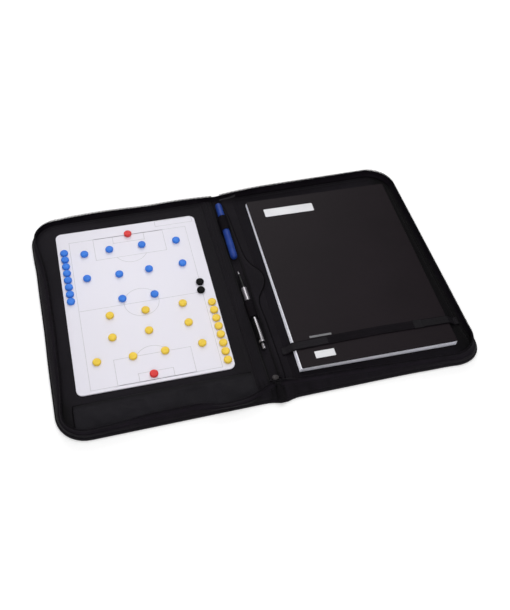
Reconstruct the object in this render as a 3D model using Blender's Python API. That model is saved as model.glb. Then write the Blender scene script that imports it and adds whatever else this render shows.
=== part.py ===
# Coaching wallet, lying open: two padded covers joined by a spine, soft side walls whose rims
# carry the zip, a magnet board with round player pieces on the left, a paper pad under an
# elastic strap on the right, and a marker and a ballpoint in loops on the spine.
#
# Metres, +Z up. X runs across the open wallet, Y runs away from the reader.
# The origin is on the table, under the middle of the spine.

import math

import bmesh
import bpy
from mathutils import Matrix, Vector

MM = 0.001
CLEARANCE = 0.3 * MM

# Covers and spine
OPEN_WIDTH = 537 * MM
DEPTH = 355 * MM
CORNER_RADIUS = 38 * MM
COVER_THICKNESS = 3.6 * MM
COVER_EDGE_ROUND = 1.2 * MM
CORNER_STEPS = 8

# Each cover folds on the spine about a line just above the table
FOLD_X = 18 * MM
FOLD_Z = 0.5 * MM
FOLD_LIP_THICKNESS = 1.0 * MM
FOLD_LIP_GAP = 0.7 * MM
FOLD_TAPER_END = 4.0 * MM

# Side walls: a soft band that stands on the cover's edge and ends in the zip's bead
WALL_START_X = 23.5 * MM
WALL_BASE_INSET = 2.6 * MM
WALL_WAIST_INSET = 0.6 * MM
WALL_THICKNESS = 1.6 * MM
BEAD_RADIUS = 1.4 * MM
RIM_HEIGHT = 16.2 * MM
TAPE_HEIGHT = 5 * MM
WALL_STATION_SPACING = 30 * MM

# The slider runs along this straight line over the near rim of the right half
SLIDER_RUN_INSET = 19.5 * MM
SLIDER_RUN_SLOPE = 0.06
SLIDER_TURN = -math.atan(SLIDER_RUN_SLOPE)

# Linings
LINING_THICKNESS = 2.6 * MM
LINING_EDGE_INSET = 4.4 * MM
LINING_START_X = 23.2 * MM
LINING_EDGE_ROUND = 0.9 * MM
TAB_CHORD = 72 * MM
TAB_PEAK_X = 30 * MM
TAB_MIDDLE_Y = 7 * MM
TAB_THICKNESS = 1.1 * MM

# Slip pocket along the near edge of the left half
POCKET_LEFT_X = -247 * MM
POCKET_RIGHT_X = -25 * MM
POCKET_NEAR_INSET = 7.5 * MM
POCKET_MOUTH_LEFT_INSET = 45 * MM
POCKET_MOUTH_RIGHT_INSET = 35 * MM
POCKET_THICKNESS = 2.4 * MM
POCKET_SEAM = 4 * MM
POCKET_HOLLOW = 1.2 * MM

# Magnet board and the pieces on it
BOARD_WIDTH = 197.5 * MM
BOARD_HEIGHT = 271 * MM
BOARD_THICKNESS = 1.6 * MM
BOARD_CORNER_RADIUS = 8 * MM
BOARD_CORNER = Vector((-240.2 * MM, -119.3 * MM))
BOARD_TURN = math.radians(-0.9)
PIECE_RADIUS = 5.4 * MM
PIECE_HEIGHT = 4.5 * MM
PIECE_SEGMENTS = 16

# Formation on the board, in millimetres from its near left corner
BLUE_FIELD = (
    (36.5, 225), (71, 227), (116, 227), (164, 225.5), (35, 181),
    (78, 180), (118.5, 181), (165, 182), (76, 137), (118.5, 136),
)
YELLOW_FIELD = (
    (56, 112.5), (102.5, 112), (152, 113), (54.5, 77), (101.5, 78.5),
    (153.5, 80.5), (30.5, 43.5), (75.5, 43), (116, 43), (164, 44.5),
)
KEEPERS = ((100, 251), (96.5, 11.7))
REFEREES = ((181.4, 144), (180, 130))
SPARES_IN_A_COLUMN = 8
BLUE_SPARES_TOP = (9.8, 232)
BLUE_SPARES_PITCH = 12.3
YELLOW_SPARES_TOP = (190, 107)
YELLOW_SPARES_PITCH = 13.5

# Spine panel and its two loops
PANEL_HALF_WIDTH = 11.5 * MM
PANEL_NEAR_Y = -150 * MM
PANEL_FAR_Y = 168 * MM
PANEL_THICKNESS = 1.3 * MM
LOOP_THICKNESS = 1.0 * MM
LOOP_FOOT_LENGTH = 3.2 * MM

# Marker pen, lying along the spine with its cap away from the reader
MARKER_RADIUS = 4.75 * MM
MARKER_TAIL_Y = 49 * MM
MARKER_SHOULDER_Y = 130 * MM
MARKER_TOP_Y = 161.5 * MM
MARKER_LOOP_Y = (105 * MM, 133.5 * MM)

# Ballpoint pen, lying along the spine with its tip away from the reader
PEN_RADIUS = 3.9 * MM
PEN_TAIL_Y = -95.5 * MM
PEN_LENGTH = 115 * MM
PEN_GRIP_START = 70 * MM
PEN_GRIP_END = 94 * MM
GRIP_PROUD = 0.2 * MM
PEN_BUTTON_OUT = 12 * MM
PEN_TIP_OUT = 4 * MM
PEN_LOOP_Y = (-52.5 * MM, -25.5 * MM)
ROUND_SEGMENTS = 18

# Paper pad and the strap that holds it
PAD_WIDTH = 210 * MM
PAD_HEIGHT = 297 * MM
PAD_THICKNESS = 5.2 * MM
PAD_COVER_THICKNESS = 0.5 * MM
PAD_CORNER = Vector((35.2 * MM, -144.7 * MM))
PAD_TURN = math.radians(-1.41)
STRAP_WIDTH = 12 * MM
STRAP_THICKNESS = 1.1 * MM
STRAP_START = Vector((23.6 * MM, -111.5 * MM))
STRAP_LENGTH = 238 * MM
STRAP_END_LENGTH = 9.5 * MM
STRAP_RISE_LENGTH = 2.4 * MM

# Zip slider, its pull and the stop at the chain's end
SLIDER_Z = FOLD_Z + FOLD_X
SLIDER_LENGTH = 12 * MM
SLIDER_PLATE_HEIGHT = 9 * MM
SLIDER_PLATE_THICKNESS = 1.2 * MM
SLIDER_CHANNEL = 4.6 * MM
WEDGE_THICKNESS = 1.2 * MM
BRIDGE_OFFSET = Vector((0, -5.6 * MM, 1.5 * MM))
BRIDGE_RADIUS = 0.8 * MM
BRIDGE_HALF_LENGTH = 3.9 * MM
PULL_LENGTH = 23 * MM
PULL_WIDTH = 8.5 * MM
PULL_THICKNESS = 1.3 * MM
PULL_EYE_RADIUS = 1.8 * MM
PULL_REST_ANGLE = math.radians(-32)

# Heights that the layers leave
LAYER_Z = COVER_THICKNESS + CLEARANCE
LINING_TOP = LAYER_Z + LINING_THICKNESS
ON_LINING = LINING_TOP + CLEARANCE
BOARD_TOP = ON_LINING + BOARD_THICKNESS
PANEL_TOP = LAYER_Z + PANEL_THICKNESS
MARKER_Z = PANEL_TOP + CLEARANCE + MARKER_RADIUS
PEN_Z = PANEL_TOP + CLEARANCE + PEN_RADIUS
PAD_TOP = ON_LINING + PAD_THICKNESS
PAD_COVER_TOP = PAD_TOP + CLEARANCE + PAD_COVER_THICKNESS


# Scene and materials

def clear_scene():
    for obj in list(bpy.data.objects):
        bpy.data.objects.remove(obj, do_unlink=True)


def make_material(name, colour, roughness, metallic=0.0):
    material = bpy.data.materials.new(name)
    material.use_nodes = True
    shader = material.node_tree.nodes["Principled BSDF"]
    shader.inputs["Base Color"].default_value = (*colour, 1.0)
    shader.inputs["Roughness"].default_value = roughness
    shader.inputs["Metallic"].default_value = metallic
    return material


def make_materials():
    return {
        "shell": make_material("shell_fabric", (0.013, 0.012, 0.014), 0.75),
        "lining": make_material("lining_fabric", (0.020, 0.019, 0.022), 0.7),
        "elastic": make_material("black_elastic", (0.010, 0.009, 0.011), 0.8),
        "board": make_material("white_board", (0.80, 0.78, 0.85), 0.25),
        "paper": make_material("white_paper", (0.75, 0.75, 0.85), 0.85),
        "pad_cover": make_material("black_card", (0.024, 0.019, 0.021), 0.45),
        "blue": make_material("blue_plastic", (0.028, 0.16, 0.71), 0.4),
        "yellow": make_material("yellow_plastic", (0.89, 0.63, 0.08), 0.4),
        "red": make_material("red_plastic", (0.73, 0.06, 0.06), 0.4),
        "black": make_material("black_plastic", (0.008, 0.008, 0.010), 0.35),
        "marker": make_material("marker_plastic", (0.025, 0.09, 0.40), 0.35),
        "pen": make_material("pen_plastic", (0.012, 0.012, 0.014), 0.3),
        "chrome": make_material("pen_metal", (0.62, 0.61, 0.60), 0.25, 1.0),
        "zip_metal": make_material("slider_metal", (0.20, 0.19, 0.20), 0.35, 0.9),
        "pull": make_material("pull_rubber", (0.015, 0.014, 0.016), 0.6),
    }


# Building blocks

def make_pivot(name, location, parent=None):
    pivot = bpy.data.objects.new(name, None)
    pivot.empty_display_size = 10 * MM
    bpy.context.scene.collection.objects.link(pivot)
    pivot["home"] = location
    if parent is not None:
        pivot.parent = parent
        location = Vector(location) - Vector(parent["home"])
    pivot.location = location
    return pivot


def make_object(name, bm, material, parent=None, location=(0, 0, 0), turn=0.0, smooth_angle=35):
    bmesh.ops.recalc_face_normals(bm, faces=bm.faces)
    mesh = bpy.data.meshes.new(name)
    bm.to_mesh(mesh)
    bm.free()
    mesh.shade_smooth()
    mesh.set_sharp_from_angle(angle=math.radians(smooth_angle))
    mesh.materials.append(material)
    obj = bpy.data.objects.new(name, mesh)
    bpy.context.scene.collection.objects.link(obj)
    place = Vector(location)
    if parent is not None:
        obj.parent = parent
        place = place - Vector(parent["home"])
    obj.location = place
    obj.rotation_euler.z = turn
    return obj


def arc_points(centre, radius, start, end, steps):
    points = []
    for step in range(steps + 1):
        angle = start + (end - start) * step / steps
        points.append(Vector((centre[0] + radius * math.cos(angle), centre[1] + radius * math.sin(angle))))
    return points


def rounded_outline(corners, steps=CORNER_STEPS):
    # Corners are (x, y, radius), anticlockwise and convex; a radius of 0 keeps the corner sharp
    points = []
    count = len(corners)
    for index, (x, y, radius) in enumerate(corners):
        corner = Vector((x, y))
        if radius == 0:
            points.append(corner)
            continue
        before = (Vector(corners[index - 1][:2]) - corner).normalized()
        after = (Vector(corners[(index + 1) % count][:2]) - corner).normalized()
        half_angle = before.angle(after) / 2
        centre = corner + (before + after).normalized() * (radius / math.sin(half_angle))
        first = corner + before * (radius / math.tan(half_angle)) - centre
        sweep = math.pi - 2 * half_angle
        start = math.atan2(first.y, first.x)
        points.extend(arc_points(centre, radius, start, start + sweep, steps))
    return points


def extruded(outline, low, high):
    bm = bmesh.new()
    floor = bm.faces.new([bm.verts.new((p.x, p.y, low)) for p in outline])
    grown = bmesh.ops.extrude_face_region(bm, geom=[floor])
    roof = [v for v in grown["geom"] if isinstance(v, bmesh.types.BMVert)]
    bmesh.ops.translate(bm, verts=roof, vec=(0, 0, high - low))
    return bm


def round_level_edges(bm, heights, amount, segments=2):
    picked = []
    for edge in bm.edges:
        for height in heights:
            if all(abs(v.co.z - height) < 1e-6 for v in edge.verts):
                picked.append(edge)
                break
    bmesh.ops.bevel(bm, geom=picked, offset=amount, segments=segments, profile=0.5,
                    affect="EDGES", clamp_overlap=True)


def box(low, high):
    outline = [Vector((low[0], low[1])), Vector((high[0], low[1])),
               Vector((high[0], high[1])), Vector((low[0], high[1]))]
    return extruded(outline, low[2], high[2])


def revolved(profile, segments, axis):
    # The profile is (radius, distance along the axis). A radius of 0 closes an end, and a
    # profile that starts off the axis is closed back to its start
    along = Vector(axis)
    outward = Vector((1, 0, 0))
    bm = bmesh.new()
    verts = [bm.verts.new(outward * radius + along * distance) for radius, distance in profile]
    edges = [bm.edges.new((a, b)) for a, b in zip(verts, verts[1:]) if a.co.x > 0 or b.co.x > 0]
    if profile[0][0] > 0:
        edges.append(bm.edges.new((verts[-1], verts[0])))
    bmesh.ops.spin(bm, geom=verts + edges, cent=(0, 0, 0), axis=axis, angle=2 * math.pi,
                   steps=segments, use_merge=True, use_duplicate=False)
    bmesh.ops.remove_doubles(bm, verts=bm.verts, dist=1e-6)
    return bm


def round_bar(radius, half_length, segments):
    # Round bar along X, centred on the origin
    profile = [(0, -half_length), (radius, -half_length), (radius, half_length), (0, half_length)]
    bm = revolved(profile, segments, (0, 1, 0))
    bmesh.ops.rotate(bm, verts=bm.verts, cent=(0, 0, 0), matrix=Matrix.Rotation(math.pi / 2, 3, "Z"))
    return bm


def combine(target, other_bm, operation):
    # The joined or cut shape stays hidden, as a wire guide that rides on the target
    bmesh.ops.recalc_face_normals(other_bm, faces=other_bm.faces)
    mesh = bpy.data.meshes.new(target.name + "_guide")
    other_bm.to_mesh(mesh)
    other_bm.free()
    guide = bpy.data.objects.new(mesh.name, mesh)
    bpy.context.scene.collection.objects.link(guide)
    guide.parent = target
    guide.hide_render = True
    guide.display_type = "WIRE"
    modifier = target.modifiers.new(operation.lower(), "BOOLEAN")
    modifier.operation = operation
    modifier.object = guide
    modifier.solver = "EXACT"


def interpolate(controls, position):
    # Controls are (position, value, value, ...), in order
    for first, second in zip(controls, controls[1:]):
        if position <= second[0]:
            share = (position - first[0]) / (second[0] - first[0])
            return [a + (b - a) * share for a, b in zip(first[1:], second[1:])]
    return list(controls[-1][1:])


# Covers and spine

def fold_taper(bm, fold_x, side):
    # Thins the board to a fabric lip towards the fold line; side is +1 where the lip faces +X
    bmesh.ops.bisect_plane(bm, geom=bm.verts[:] + bm.edges[:] + bm.faces[:],
                           plane_co=(fold_x - side * FOLD_TAPER_END, 0, 0), plane_no=(1, 0, 0))
    lip_x = fold_x - side * FOLD_LIP_GAP
    for vert in bm.verts:
        if abs(vert.co.x - lip_x) < 1e-5:
            vert.co.z = min(vert.co.z, FOLD_LIP_THICKNESS)


def make_cover(name, side, material, parent):
    # side is +1 for the right cover and -1 for the left one
    inner = side * (FOLD_X + FOLD_LIP_GAP)
    outer = side * OPEN_WIDTH / 2
    corners = [(inner, -DEPTH / 2, 0), (outer, -DEPTH / 2, CORNER_RADIUS),
               (outer, DEPTH / 2, CORNER_RADIUS), (inner, DEPTH / 2, 0)]
    if side < 0:
        corners.reverse()
    bm = extruded(rounded_outline(corners), 0, COVER_THICKNESS)
    outer_edges = [e for e in bm.edges
                   if abs(e.verts[0].co.z - e.verts[1].co.z) < 1e-6
                   and not all(abs(v.co.x - inner) < 1e-6 for v in e.verts)]
    bmesh.ops.bevel(bm, geom=outer_edges, offset=COVER_EDGE_ROUND, segments=2, profile=0.5,
                    affect="EDGES", clamp_overlap=True)
    fold_taper(bm, side * FOLD_X, -side)
    return make_object(name, bm, material, parent)


def make_spine_cover(material, parent):
    half_width = FOLD_X - FOLD_LIP_GAP
    low = (-half_width, -DEPTH / 2, 0)
    high = (half_width, DEPTH / 2, COVER_THICKNESS)
    bm = box(low, high)
    fold_taper(bm, FOLD_X, 1)
    fold_taper(bm, -FOLD_X, -1)
    end_edges = [e for e in bm.edges
                 if all(abs(abs(v.co.y) - DEPTH / 2) < 1e-6 for v in e.verts)
                 and not all(v.co.z < 1e-6 for v in e.verts)
                 and abs(e.verts[0].co.x - e.verts[1].co.x) > 1e-5]
    bmesh.ops.bevel(bm, geom=end_edges, offset=0.6 * MM, segments=2, profile=0.5,
                    affect="EDGES", clamp_overlap=True)
    return make_object("spine_cover", bm, material, parent)


# Side walls with the zip's bead

def wall_path(distance):
    # Point on the cover's edge and the direction inwards, for the right half,
    # at a distance along the edge from the near end of the spine
    straight = OPEN_WIDTH / 2 - CORNER_RADIUS - WALL_START_X
    turn = CORNER_RADIUS * math.pi / 2
    side = DEPTH - 2 * CORNER_RADIUS
    centre_x = OPEN_WIDTH / 2 - CORNER_RADIUS
    centre_y = DEPTH / 2 - CORNER_RADIUS
    if distance <= straight:
        return Vector((WALL_START_X + distance, -DEPTH / 2)), Vector((0, 1))
    distance -= straight
    if distance <= turn:
        angle = -math.pi / 2 + distance / CORNER_RADIUS
        outward = Vector((math.cos(angle), math.sin(angle)))
        return Vector((centre_x, -centre_y)) + outward * CORNER_RADIUS, -outward
    distance -= turn
    if distance <= side:
        return Vector((OPEN_WIDTH / 2, -centre_y + distance)), Vector((-1, 0))
    distance -= side
    if distance <= turn:
        angle = distance / CORNER_RADIUS
        outward = Vector((math.cos(angle), math.sin(angle)))
        return Vector((centre_x, centre_y)) + outward * CORNER_RADIUS, -outward
    distance -= turn
    return Vector((centre_x - distance, DEPTH / 2)), Vector((0, -1))


def wall_marks():
    # Distances along the edge at which its straight and round stretches meet
    straight = OPEN_WIDTH / 2 - CORNER_RADIUS - WALL_START_X
    turn = CORNER_RADIUS * math.pi / 2
    side = DEPTH - 2 * CORNER_RADIUS
    near_corner = straight
    side_start = near_corner + turn
    side_end = side_start + side
    far_start = side_end + turn
    return near_corner, side_start, side_end, far_start, far_start + straight


def right_rim():
    # How far the rim leans in over the cover, and its height, along the right half
    near_corner, side_start, side_end, far_start, end = wall_marks()

    def run_lean(distance):
        return SLIDER_RUN_INSET - SLIDER_RUN_SLOPE * (WALL_START_X + distance)

    ramp = 28.5 * MM
    return [
        (0, 2.4 * MM, 8.6 * MM),
        (9.5 * MM, 6.2 * MM, 10.8 * MM),
        (18.5 * MM, 12.5 * MM, 13.4 * MM),
        (ramp, run_lean(ramp), RIM_HEIGHT),
        (near_corner, run_lean(near_corner), RIM_HEIGHT),
        (side_start, 3.0 * MM, RIM_HEIGHT),
        (side_end, 2.8 * MM, RIM_HEIGHT),
        (far_start, 2.6 * MM, RIM_HEIGHT),
        (far_start + 55 * MM, 2.4 * MM, 16.8 * MM),
        (end - 50 * MM, 2.6 * MM, 16.8 * MM),
        (end - ramp, 2.9 * MM, RIM_HEIGHT),
        (end - 9.5 * MM, 3.6 * MM, 15.0 * MM),
        (end, 4.4 * MM, 14.2 * MM),
    ]


def left_rim():
    # The left wall has slumped inwards along its side and waves along its near and far runs
    near_corner, side_start, side_end, far_start, end = wall_marks()
    ramp = 28.5 * MM
    return [
        (0, 2.4 * MM, 8.6 * MM),
        (9.5 * MM, 6.0 * MM, 10.4 * MM),
        (18.5 * MM, 5.5 * MM, 12.2 * MM),
        (ramp, 4.2 * MM, RIM_HEIGHT),
        (50 * MM, 3.2 * MM, RIM_HEIGHT),
        (76 * MM, 9.0 * MM, 15.6 * MM),
        (135 * MM, 9.8 * MM, 15.5 * MM),
        (170 * MM, 6.2 * MM, 16.0 * MM),
        (near_corner, 5.0 * MM, RIM_HEIGHT),
        (side_start, 8.0 * MM, 15.6 * MM),
        (side_start + 42 * MM, 12.0 * MM, 14.2 * MM),
        (side_start + 142 * MM, 13.5 * MM, 13.4 * MM),
        (side_start + 206 * MM, 13.3 * MM, 13.5 * MM),
        (side_start + 242 * MM, 10.5 * MM, 14.6 * MM),
        (side_end, 6.0 * MM, 15.8 * MM),
        (side_end + 32 * MM, 3.4 * MM, RIM_HEIGHT),
        (far_start, 2.6 * MM, RIM_HEIGHT),
        (far_start + 71 * MM, 2.6 * MM, 15.2 * MM),
        (far_start + 126 * MM, 2.6 * MM, 13.2 * MM),
        (far_start + 171 * MM, 2.8 * MM, 14.2 * MM),
        (end - 9.5 * MM, 3.2 * MM, 13.4 * MM),
        (end, 3.8 * MM, 13.2 * MM),
    ]


def wall_distances(controls):
    near_corner, side_start, side_end, far_start, end = wall_marks()
    distances = {round(control[0], 6) for control in controls}
    for first, last in ((0, near_corner), (side_start, side_end), (far_start, end)):
        count = max(1, round((last - first) / WALL_STATION_SPACING))
        distances |= {round(first + (last - first) * i / count, 6) for i in range(count + 1)}
    for first, last in ((near_corner, side_start), (side_end, far_start)):
        distances |= {round(first + (last - first) * i / CORNER_STEPS, 6) for i in range(CORNER_STEPS + 1)}
    ordered = sorted(distances)
    kept = ordered[:1]
    for distance in ordered[1:]:
        if distance - kept[-1] > 2 * MM:
            kept.append(distance)
    kept[-1] = end
    return kept


def wall_section(lean, height):
    # Closed section of the wall as (inset, height) points: up the outer face, round the
    # bead and down the inner face
    rise = height - LAYER_Z
    base = Vector((WALL_BASE_INSET, LAYER_Z))
    waist = Vector((WALL_WAIST_INSET, LAYER_Z + 0.55 * rise))
    tape = Vector((lean, height - min(TAPE_HEIGHT, 0.4 * rise)))
    rim = Vector((lean, height))

    def centre(t):
        return (base * (1 - t) ** 3 + waist * (3 * t * (1 - t) ** 2)
                + tape * (3 * t ** 2 * (1 - t)) + rim * t ** 3)

    def outward(t):
        tangent = ((waist - base) * (1 - t) ** 2 + (tape - waist) * (2 * t * (1 - t))
                   + (rim - tape) * t ** 2).normalized()
        return tangent, Vector((-tangent.y, tangent.x))

    half = WALL_THICKNESS / 2
    outer = [Vector((base.x - half, base.y))]
    inner = [Vector((base.x + half, base.y))]
    for t in (0.3, 0.55, 0.8):
        _, normal = outward(t)
        outer.append(centre(t) + normal * half)
        inner.append(centre(t) - normal * half)
    tangent, normal = outward(1)
    bead = []
    for step in range(5):
        angle = math.pi * step / 4
        bead.append(rim + (normal * math.cos(angle) + tangent * math.sin(angle)) * BEAD_RADIUS)
    return outer + bead + inner[::-1]


def make_gusset(name, side, controls, material, parent):
    bm = bmesh.new()
    previous = None
    ring = []
    for distance in wall_distances(controls):
        point, inward = wall_path(distance)
        lean, height = interpolate(controls, distance)
        ring = []
        for inset, z in wall_section(lean, height):
            spot = point + inward * inset
            ring.append(bm.verts.new((side * spot.x, spot.y, z)))
        edges = [bm.edges.new((ring[i - 1], ring[i])) for i in range(len(ring))]
        if previous is None:
            bm.faces.new(ring)
        else:
            bmesh.ops.bridge_loops(bm, edges=previous + edges)
        previous = edges
    bm.faces.new(ring)
    bm.normal_update()
    bmesh.ops.triangulate(bm, faces=bm.faces[:], ngon_method="EAR_CLIP")
    return make_object(name, bm, material, parent, smooth_angle=50)


# Linings and pocket

def lining_outline(side):
    inner = side * LINING_START_X
    outer = side * (OPEN_WIDTH / 2 - LINING_EDGE_INSET)
    far = DEPTH / 2 - LINING_EDGE_INSET
    radius = CORNER_RADIUS - LINING_EDGE_INSET
    corners = [(inner, -far, 0), (outer, -far, radius), (outer, far, radius), (inner, far, 0)]
    if side < 0:
        corners.reverse()
    return rounded_outline(corners)


def make_lining(name, side, material, parent):
    bm = extruded(lining_outline(side), LAYER_Z, LINING_TOP)
    round_level_edges(bm, [LINING_TOP], LINING_EDGE_ROUND)
    return make_object(name, bm, material, parent)


def half_round_tab():
    # Half-round flap sewn on the lining beside the spine; its foot is sunk in the lining
    half_chord = TAB_CHORD / 2
    rise = TAB_PEAK_X - LINING_START_X - 0.4 * MM
    radius = (half_chord ** 2 + rise ** 2) / (2 * rise)
    sweep = math.asin(half_chord / radius)
    centre = (TAB_PEAK_X - radius, TAB_MIDDLE_Y)
    bow = arc_points(centre, radius, -sweep, sweep, 12)
    return extruded(bow, LINING_TOP - 0.5 * MM, LINING_TOP + TAB_THICKNESS)


def make_card_pocket(material, parent):
    near = -DEPTH / 2
    outline = rounded_outline([
        (POCKET_LEFT_X, near + POCKET_NEAR_INSET, 22 * MM),
        (POCKET_RIGHT_X, near + POCKET_NEAR_INSET + 5 * MM, 6 * MM),
        (POCKET_RIGHT_X, near + POCKET_MOUTH_RIGHT_INSET, 1 * MM),
        (POCKET_LEFT_X, near + POCKET_MOUTH_LEFT_INSET, 1 * MM),
    ], steps=5)
    bm = extruded(outline, ON_LINING, ON_LINING + POCKET_THICKNESS)
    round_level_edges(bm, [ON_LINING + POCKET_THICKNESS], 0.7 * MM)
    pocket = make_object("card_pocket", bm, material, parent)
    hollow = extruded([
        Vector((POCKET_LEFT_X + 22 * MM, near + POCKET_NEAR_INSET + POCKET_SEAM + 6 * MM)),
        Vector((POCKET_RIGHT_X - POCKET_SEAM, near + POCKET_NEAR_INSET + POCKET_SEAM + 6 * MM)),
        Vector((POCKET_RIGHT_X - POCKET_SEAM, near + POCKET_MOUTH_LEFT_INSET + 5 * MM)),
        Vector((POCKET_LEFT_X + POCKET_SEAM, near + POCKET_MOUTH_LEFT_INSET + 5 * MM)),
    ], ON_LINING + 0.5 * MM, ON_LINING + 0.5 * MM + POCKET_HOLLOW)
    combine(pocket, hollow, "DIFFERENCE")
    return pocket


# Magnet board and its pieces

def board_point(across, up):
    turn = Matrix.Rotation(BOARD_TURN, 2)
    spot = BOARD_CORNER + turn @ Vector((across * MM, up * MM))
    return spot.x, spot.y


def make_magnet_board(material, parent):
    corners = [(0, 0, BOARD_CORNER_RADIUS), (BOARD_WIDTH, 0, BOARD_CORNER_RADIUS),
               (BOARD_WIDTH, BOARD_HEIGHT, BOARD_CORNER_RADIUS), (0, BOARD_HEIGHT, BOARD_CORNER_RADIUS)]
    bm = extruded(rounded_outline(corners, steps=6), 0, BOARD_THICKNESS)
    round_level_edges(bm, [BOARD_THICKNESS], 0.4 * MM, segments=1)
    return make_object("magnet_board", bm, material, parent,
                       location=(BOARD_CORNER.x, BOARD_CORNER.y, ON_LINING), turn=BOARD_TURN)


def piece_profile():
    # A low drum with a rounded rim and a slight foot
    radius = PIECE_RADIUS
    height = PIECE_HEIGHT
    return [(0, 0), (radius - 0.5 * MM, 0), (radius, 0.5 * MM), (radius, height - 1.1 * MM),
            (radius - 0.35 * MM, height - 0.35 * MM), (radius - 1.1 * MM, height), (0, height)]


def column(top, pitch):
    return [(top[0], top[1] - pitch * index) for index in range(SPARES_IN_A_COLUMN)]


def make_player_pieces(materials, parent):
    groups = (
        ("player_blue", "blue", list(BLUE_FIELD) + column(BLUE_SPARES_TOP, BLUE_SPARES_PITCH)),
        ("player_yellow", "yellow", list(YELLOW_FIELD) + column(YELLOW_SPARES_TOP, YELLOW_SPARES_PITCH)),
        ("player_red", "red", list(KEEPERS)),
        ("player_black", "black", list(REFEREES)),
    )
    for name, colour, places in groups:
        for number, (across, up) in enumerate(places, start=1):
            x, y = board_point(across, up)
            bm = revolved(piece_profile(), PIECE_SEGMENTS, (0, 0, 1))
            make_object(f"{name}_{number:02d}", bm, materials[colour], parent,
                        location=(x, y, BOARD_TOP + CLEARANCE))


# Spine panel with its loops

def loop_section(radius, centre_z):
    # Omega section: a foot, the arch over the pen, and a foot
    inner = radius + CLEARANCE
    outer = inner + LOOP_THICKNESS
    foot_top = PANEL_TOP + LOOP_THICKNESS
    foot_low = PANEL_TOP - 0.4 * MM
    outer_arch = arc_points((0, centre_z), outer, 0, math.pi, 10)
    inner_arch = arc_points((0, centre_z), inner, math.pi, 0, 10)
    right_foot = [Vector((inner, foot_low)), Vector((outer + LOOP_FOOT_LENGTH, foot_low)),
                  Vector((outer + LOOP_FOOT_LENGTH, foot_top)), Vector((outer, foot_top))]
    left_foot = [Vector((-outer, foot_top)), Vector((-outer - LOOP_FOOT_LENGTH, foot_top)),
                 Vector((-outer - LOOP_FOOT_LENGTH, foot_low)), Vector((-inner, foot_low))]
    return right_foot + outer_arch + left_foot + inner_arch


def make_loop(radius, centre_z, span):
    bm = extruded(loop_section(radius, centre_z), 0, span[1] - span[0])
    bmesh.ops.rotate(bm, verts=bm.verts, cent=(0, 0, 0), matrix=Matrix.Rotation(math.pi / 2, 3, "X"))
    bmesh.ops.translate(bm, verts=bm.verts, vec=(0, span[1], 0))
    return bm


def make_pen_panel(material, parent):
    low = Vector((-PANEL_HALF_WIDTH, PANEL_NEAR_Y, LAYER_Z))
    high = Vector((PANEL_HALF_WIDTH, PANEL_FAR_Y, PANEL_TOP))
    bm = box(low, high)
    home = Vector(parent["home"])
    panel = make_object("pen_panel", bm, material, parent, location=home)
    panel.data.transform(Matrix.Translation(-home))
    loops = (
        (MARKER_RADIUS, MARKER_Z, MARKER_LOOP_Y),
        (PEN_RADIUS + GRIP_PROUD, PEN_Z, PEN_LOOP_Y),
    )
    for radius, centre_z, span in loops:
        loop = make_loop(radius, centre_z, span)
        bmesh.ops.translate(loop, verts=loop.verts, vec=-home)
        combine(panel, loop, "UNION")
    return panel


# Marker pen

def make_marker(material, barrel_pivot, cap_pivot):
    length = MARKER_SHOULDER_Y - MARKER_TAIL_Y
    barrel = [(0, 0), (2.6 * MM, 0), (4.2 * MM, 1.1 * MM), (MARKER_RADIUS, 3.2 * MM),
              (MARKER_RADIUS, length), (3.7 * MM, length), (3.7 * MM, length + 9 * MM),
              (2.4 * MM, length + 9.6 * MM), (2.0 * MM, length + 14 * MM),
              (1.0 * MM, length + 17 * MM), (0, length + 17.5 * MM)]
    bm = revolved(barrel, ROUND_SEGMENTS, (0, 1, 0))
    make_object("marker_barrel", bm, material, barrel_pivot, location=(0, MARKER_TAIL_Y, MARKER_Z))
    height = MARKER_TOP_Y - MARKER_SHOULDER_Y - CLEARANCE
    cap = [(4.0 * MM, 0), (MARKER_RADIUS, 0), (MARKER_RADIUS, height - 2.6 * MM),
           (4.3 * MM, height - 1.0 * MM), (2.8 * MM, height), (0, height),
           (0, 21 * MM), (3.2 * MM, 20 * MM), (4.0 * MM, 18 * MM)]
    bm = revolved(cap, ROUND_SEGMENTS, (0, 1, 0))
    make_object("marker_cap", bm, material, cap_pivot,
                location=(0, MARKER_SHOULDER_Y + CLEARANCE, MARKER_Z))


# Ballpoint pen: a hollow barrel with a clip, and one push piece of button, refill and tip

def pen_clip():
    # Spring clip over the upper barrel, on a bridge at its tail
    top = PEN_RADIUS + 2.2 * MM
    strip = box((-2.0 * MM, 0.6 * MM, top - 0.9 * MM), (2.0 * MM, 41 * MM, top))
    for vert in strip.verts:
        if vert.co.y > 40 * MM:
            vert.co.z -= 0.9 * MM
    bridge = box((-1.8 * MM, 0.8 * MM, PEN_RADIUS - 1.0 * MM), (1.8 * MM, 4.0 * MM, top - 0.4 * MM))
    return strip, bridge


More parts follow.
